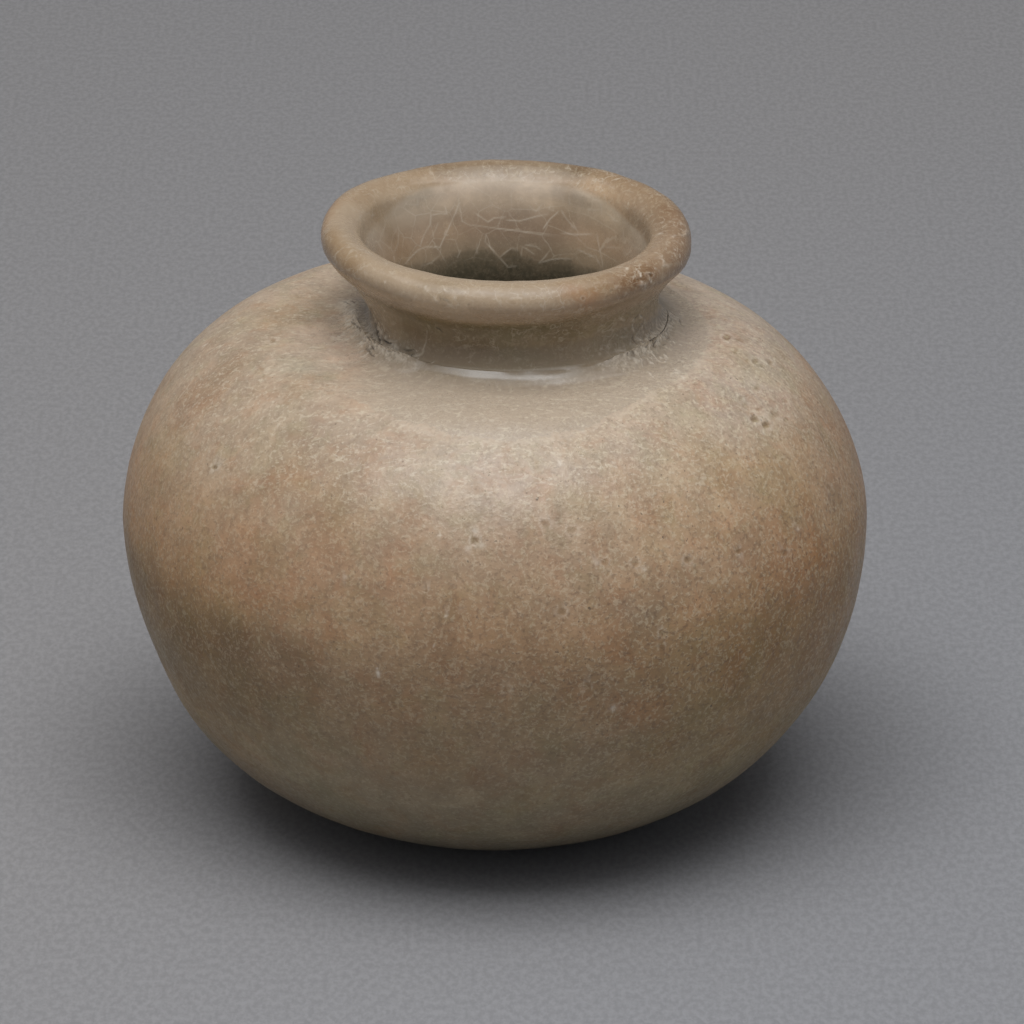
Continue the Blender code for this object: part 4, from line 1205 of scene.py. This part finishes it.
    # Painted light: the foot of the neck is paler where it turns up to the light. Then crust where the neck was luted
    # on, cracks in it, pits, pale specks, craze lines
    foot = g.math("MULTIPLY", g.span(place, NECK_S + 3.2, NECK_S - 0.6), g.span(place, SHOULDER_S - 0.5, SHOULDER_S + 1.5))
    colour = g.mix(g.math("MULTIPLY", foot, 0.45), colour, (0.420, 0.345, 0.262))
    luting = g.math("MULTIPLY", g.mask("luting"), g.span(nine, 0.36, 0.60, 0.60, 1.0))
    luting = g.math("MULTIPLY", luting, g.span(seven, 0.40, 0.56, 0.42, 1.0))
    colour = g.mix(g.math("MULTIPLY", luting, 0.86), colour, (0.735, 0.655, 0.545))
    flakes = g.math("MULTIPLY", g.mask("flakes"), g.span(seven, 0.34, 0.60), clamp=True)
    colour = g.mix(g.math("MULTIPLY", flakes, 0.74), colour, (0.76, 0.68, 0.56))
    colour = g.mix(g.math("MULTIPLY", g.mask("craze"), 0.52), colour, (0.64, 0.56, 0.45))
    colour = g.mix(g.math("MULTIPLY", g.mask("pale"), 0.90), colour, (0.84, 0.76, 0.64))
    colour = g.mix(g.mask("pit"), colour, (0.54, 0.50, 0.40), "MULTIPLY")
    colour = g.mix(g.math("MULTIPLY", g.mask("crack"), 0.95), colour, (0.030, 0.025, 0.019))
    # The underside is bare clay
    bare = g.span(place, FOOT_S + 0.2, FOOT_S - 1.2)
    colour = g.mix(bare, colour, g.mix(seven, (0.29, 0.215, 0.15), (0.41, 0.32, 0.23)))
    g.put(g.shader.inputs["Base Color"], colour)
    worn = g.math("MULTIPLY", g.span(x, 6.0, 18.0), g.span(place, FLARE_S, LIP_S))
    joint = g.math("MULTIPLY", g.span(place, SHOULDER_S - 4.0, SHOULDER_S), g.span(place, SHOULDER_S + 4.5, SHOULDER_S + 3.0))
    smooth = g.math("MAXIMUM", g.math("MULTIPLY", collar, 0.6), g.math("MAXIMUM", neck, inside))
    rough = g.math("ADD", g.span(four, 0.3, 0.7, 0.36, 0.48), g.math("MULTIPLY", g.math("SUBTRACT", nine, 0.5), 0.50))
    rough = g.math("SUBTRACT", rough, g.math("MULTIPLY", smooth, g.math("SUBTRACT", 0.20, g.math("MULTIPLY", worn, 0.12))))
    rough = g.math("SUBTRACT", rough, g.math("MULTIPLY", joint, 0.16))
    rough = g.math("MAXIMUM", rough, 0.12)
    rough = g.math("ADD", rough, g.math("MULTIPLY", g.math("MAXIMUM", flakes, luting), 0.30))
    rough = g.math("ADD", rough, g.math("MULTIPLY", bare, 0.40), clamp=True)
    g.put(g.shader.inputs["Roughness"], rough)
    flat = g.math("SUBTRACT", 1.0, g.math("MULTIPLY", joint, g.span(g.mask("luting"), 0.0, 0.4, 0.92, 0.0)))
    height = g.math("MULTIPLY", g.math("MULTIPLY", g.noise(at, 1.85, 1.6, 0.60), flat), g.span(place, NECK_S, FLARE_S, 1.0, 0.22))
    g.put(g.shader.inputs["Normal"], g.relief(height, 0.8, 0.00008))
    g.shader.inputs["IOR"].default_value = 1.55
    # Glaze that pooled thick and glassy in the corner of the neck and inside the lip
    pool = g.math("MULTIPLY", g.span(place, SHOULDER_S - 1.4, SHOULDER_S), g.span(place, NECK_S - 1.0, NECK_S - 2.3))
    pool = g.math("MULTIPLY", pool, g.math("MULTIPLY", g.span(y, -8.0, -14.0), g.span(g.mask("luting"), 0.25, 0.0)))
    pool = g.math("MULTIPLY", pool, g.math("MULTIPLY", g.span(x, -8.0, -1.5), g.span(x, 11.0, 6.0)))
    band = g.math("MULTIPLY", g.span(place, CREST + 2.0, CREST + 2.9), g.span(place, CREST + 5.2, CREST + 3.9))
    band = g.math("MULTIPLY", band, g.math("MULTIPLY", g.span(x, -15.0, -7.0), g.span(x, 13.0, 7.0)))
    pool = g.math("MAXIMUM", pool, g.math("MULTIPLY", band, g.span(y, 8.0, 15.0, 0.0, 0.36)))
    g.put(g.shader.inputs["Coat Weight"], g.math("MULTIPLY", pool, g.span(nine, 0.34, 0.48, 0.85, 1.0)))
    g.shader.inputs["Coat Roughness"].default_value = 0.14
    g.shader.inputs["Coat IOR"].default_value = 2.5
    return g.material


def ground():
    g = Graph("grey_ground")
    at = g.millimetres()
    x, y, z = g.axes(at)
    grain = g.noise(g.join(x, g.math("MULTIPLY", y, 0.55), z), 1.4, 2.0, 0.62)
    colour = g.mix(g.span(grain, 0.3, 0.7), (0.248, 0.248, 0.256), (0.300, 0.300, 0.309))
    # Slightly warmer at the front left and cooler at the back right; darker towards the back, as painted shade
    side = g.span(g.math("SUBTRACT", x, g.math("MULTIPLY", y, 0.5)), -80.0, 80.0)
    colour = g.mix(1.0, colour, g.mix(side, (1.008, 0.995, 0.985), (0.975, 0.99, 1.015)), "MULTIPLY")
    colour = g.vector("SCALE", colour, scale=g.span(y, 0.0, 260.0, 1.0, 0.95))
    g.put(g.shader.inputs["Base Color"], colour)
    g.put(g.shader.inputs["Roughness"], g.span(grain, 0.3, 0.7, 0.86, 0.94))
    g.shader.inputs["Specular IOR Level"].default_value = 0.2
    g.put(g.shader.inputs["Normal"], g.relief(g.noise(at, 1.8, 0.0), 0.3, 0.00003))
    return g.material


# ---------------------------------------------------------------- ground, light

def make_ground():
    """A level ground that curves up all round into a plain backdrop."""
    flat, bend, top = 0.75, 0.60, 1.25
    chain = [(0.0, 0.0)] + [(flat * k / 6, 0.0) for k in range(1, 7)]
    for k in range(1, 13):
        angle = 0.5 * math.pi * k / 12
        chain.append((flat + bend * math.sin(angle), bend * (1.0 - math.cos(angle))))
    chain.append((flat + bend, top))
    bm = bmesh.new()
    verts = [bm.verts.new((r, 0.0, h)) for r, h in chain]
    edges = [bm.edges.new(pair) for pair in zip(verts, verts[1:])]
    bmesh.ops.spin(
        bm, geom=verts + edges, cent=(0, 0, 0), axis=(0, 0, 1), angle=2.0 * math.pi, steps=96, use_merge=True
    )
    bmesh.ops.remove_doubles(bm, verts=bm.verts, dist=1e-6)
    bmesh.ops.recalc_face_normals(bm, faces=bm.faces)
    bmesh.ops.reverse_faces(bm, faces=bm.faces)
    mesh = bpy.data.meshes.new("ground")
    bm.to_mesh(mesh)
    bm.free()
    mesh.shade_smooth()
    mesh.materials.append(ground())
    item = bpy.data.objects.new("ground", mesh)
    bpy.context.scene.collection.objects.link(item)


def softbox(name, x, y, wide, deep, power):
    """A level panel above the jar that lights straight down."""
    data = bpy.data.lights.new(name, "AREA")
    data.shape, data.size, data.size_y = "RECTANGLE", wide, deep
    data.energy = power
    item = bpy.data.objects.new(name, data)
    item.location = (x, y, 1.44)
    item.visible_camera = False
    bpy.context.scene.collection.objects.link(item)


def make_light():
    world = bpy.data.worlds.new("studio")
    bpy.context.scene.world = world
    world.use_nodes = True
    world.node_tree.nodes["Background"].inputs["Color"].default_value = (0.25, 0.25, 0.257, 1.0)
    world.node_tree.nodes["Background"].inputs["Strength"].default_value = 0.02
    softbox("outer", -0.10, -0.385, 2.10, 2.03, 12.0)
    softbox("inner", -0.08, -0.42, 1.40, 0.90, 14.4)
    softbox("core", -0.06, -0.385, 0.84, 0.63, 2.0)


# ---------------------------------------------------------------- the scene

make_camera()
make_ground()
make_light()
bpy.context.scene.view_settings.view_transform = "Standard"

jar = make_jar()
jar.data.materials.append(glaze())
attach(jar, "root")
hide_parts("jarlet")
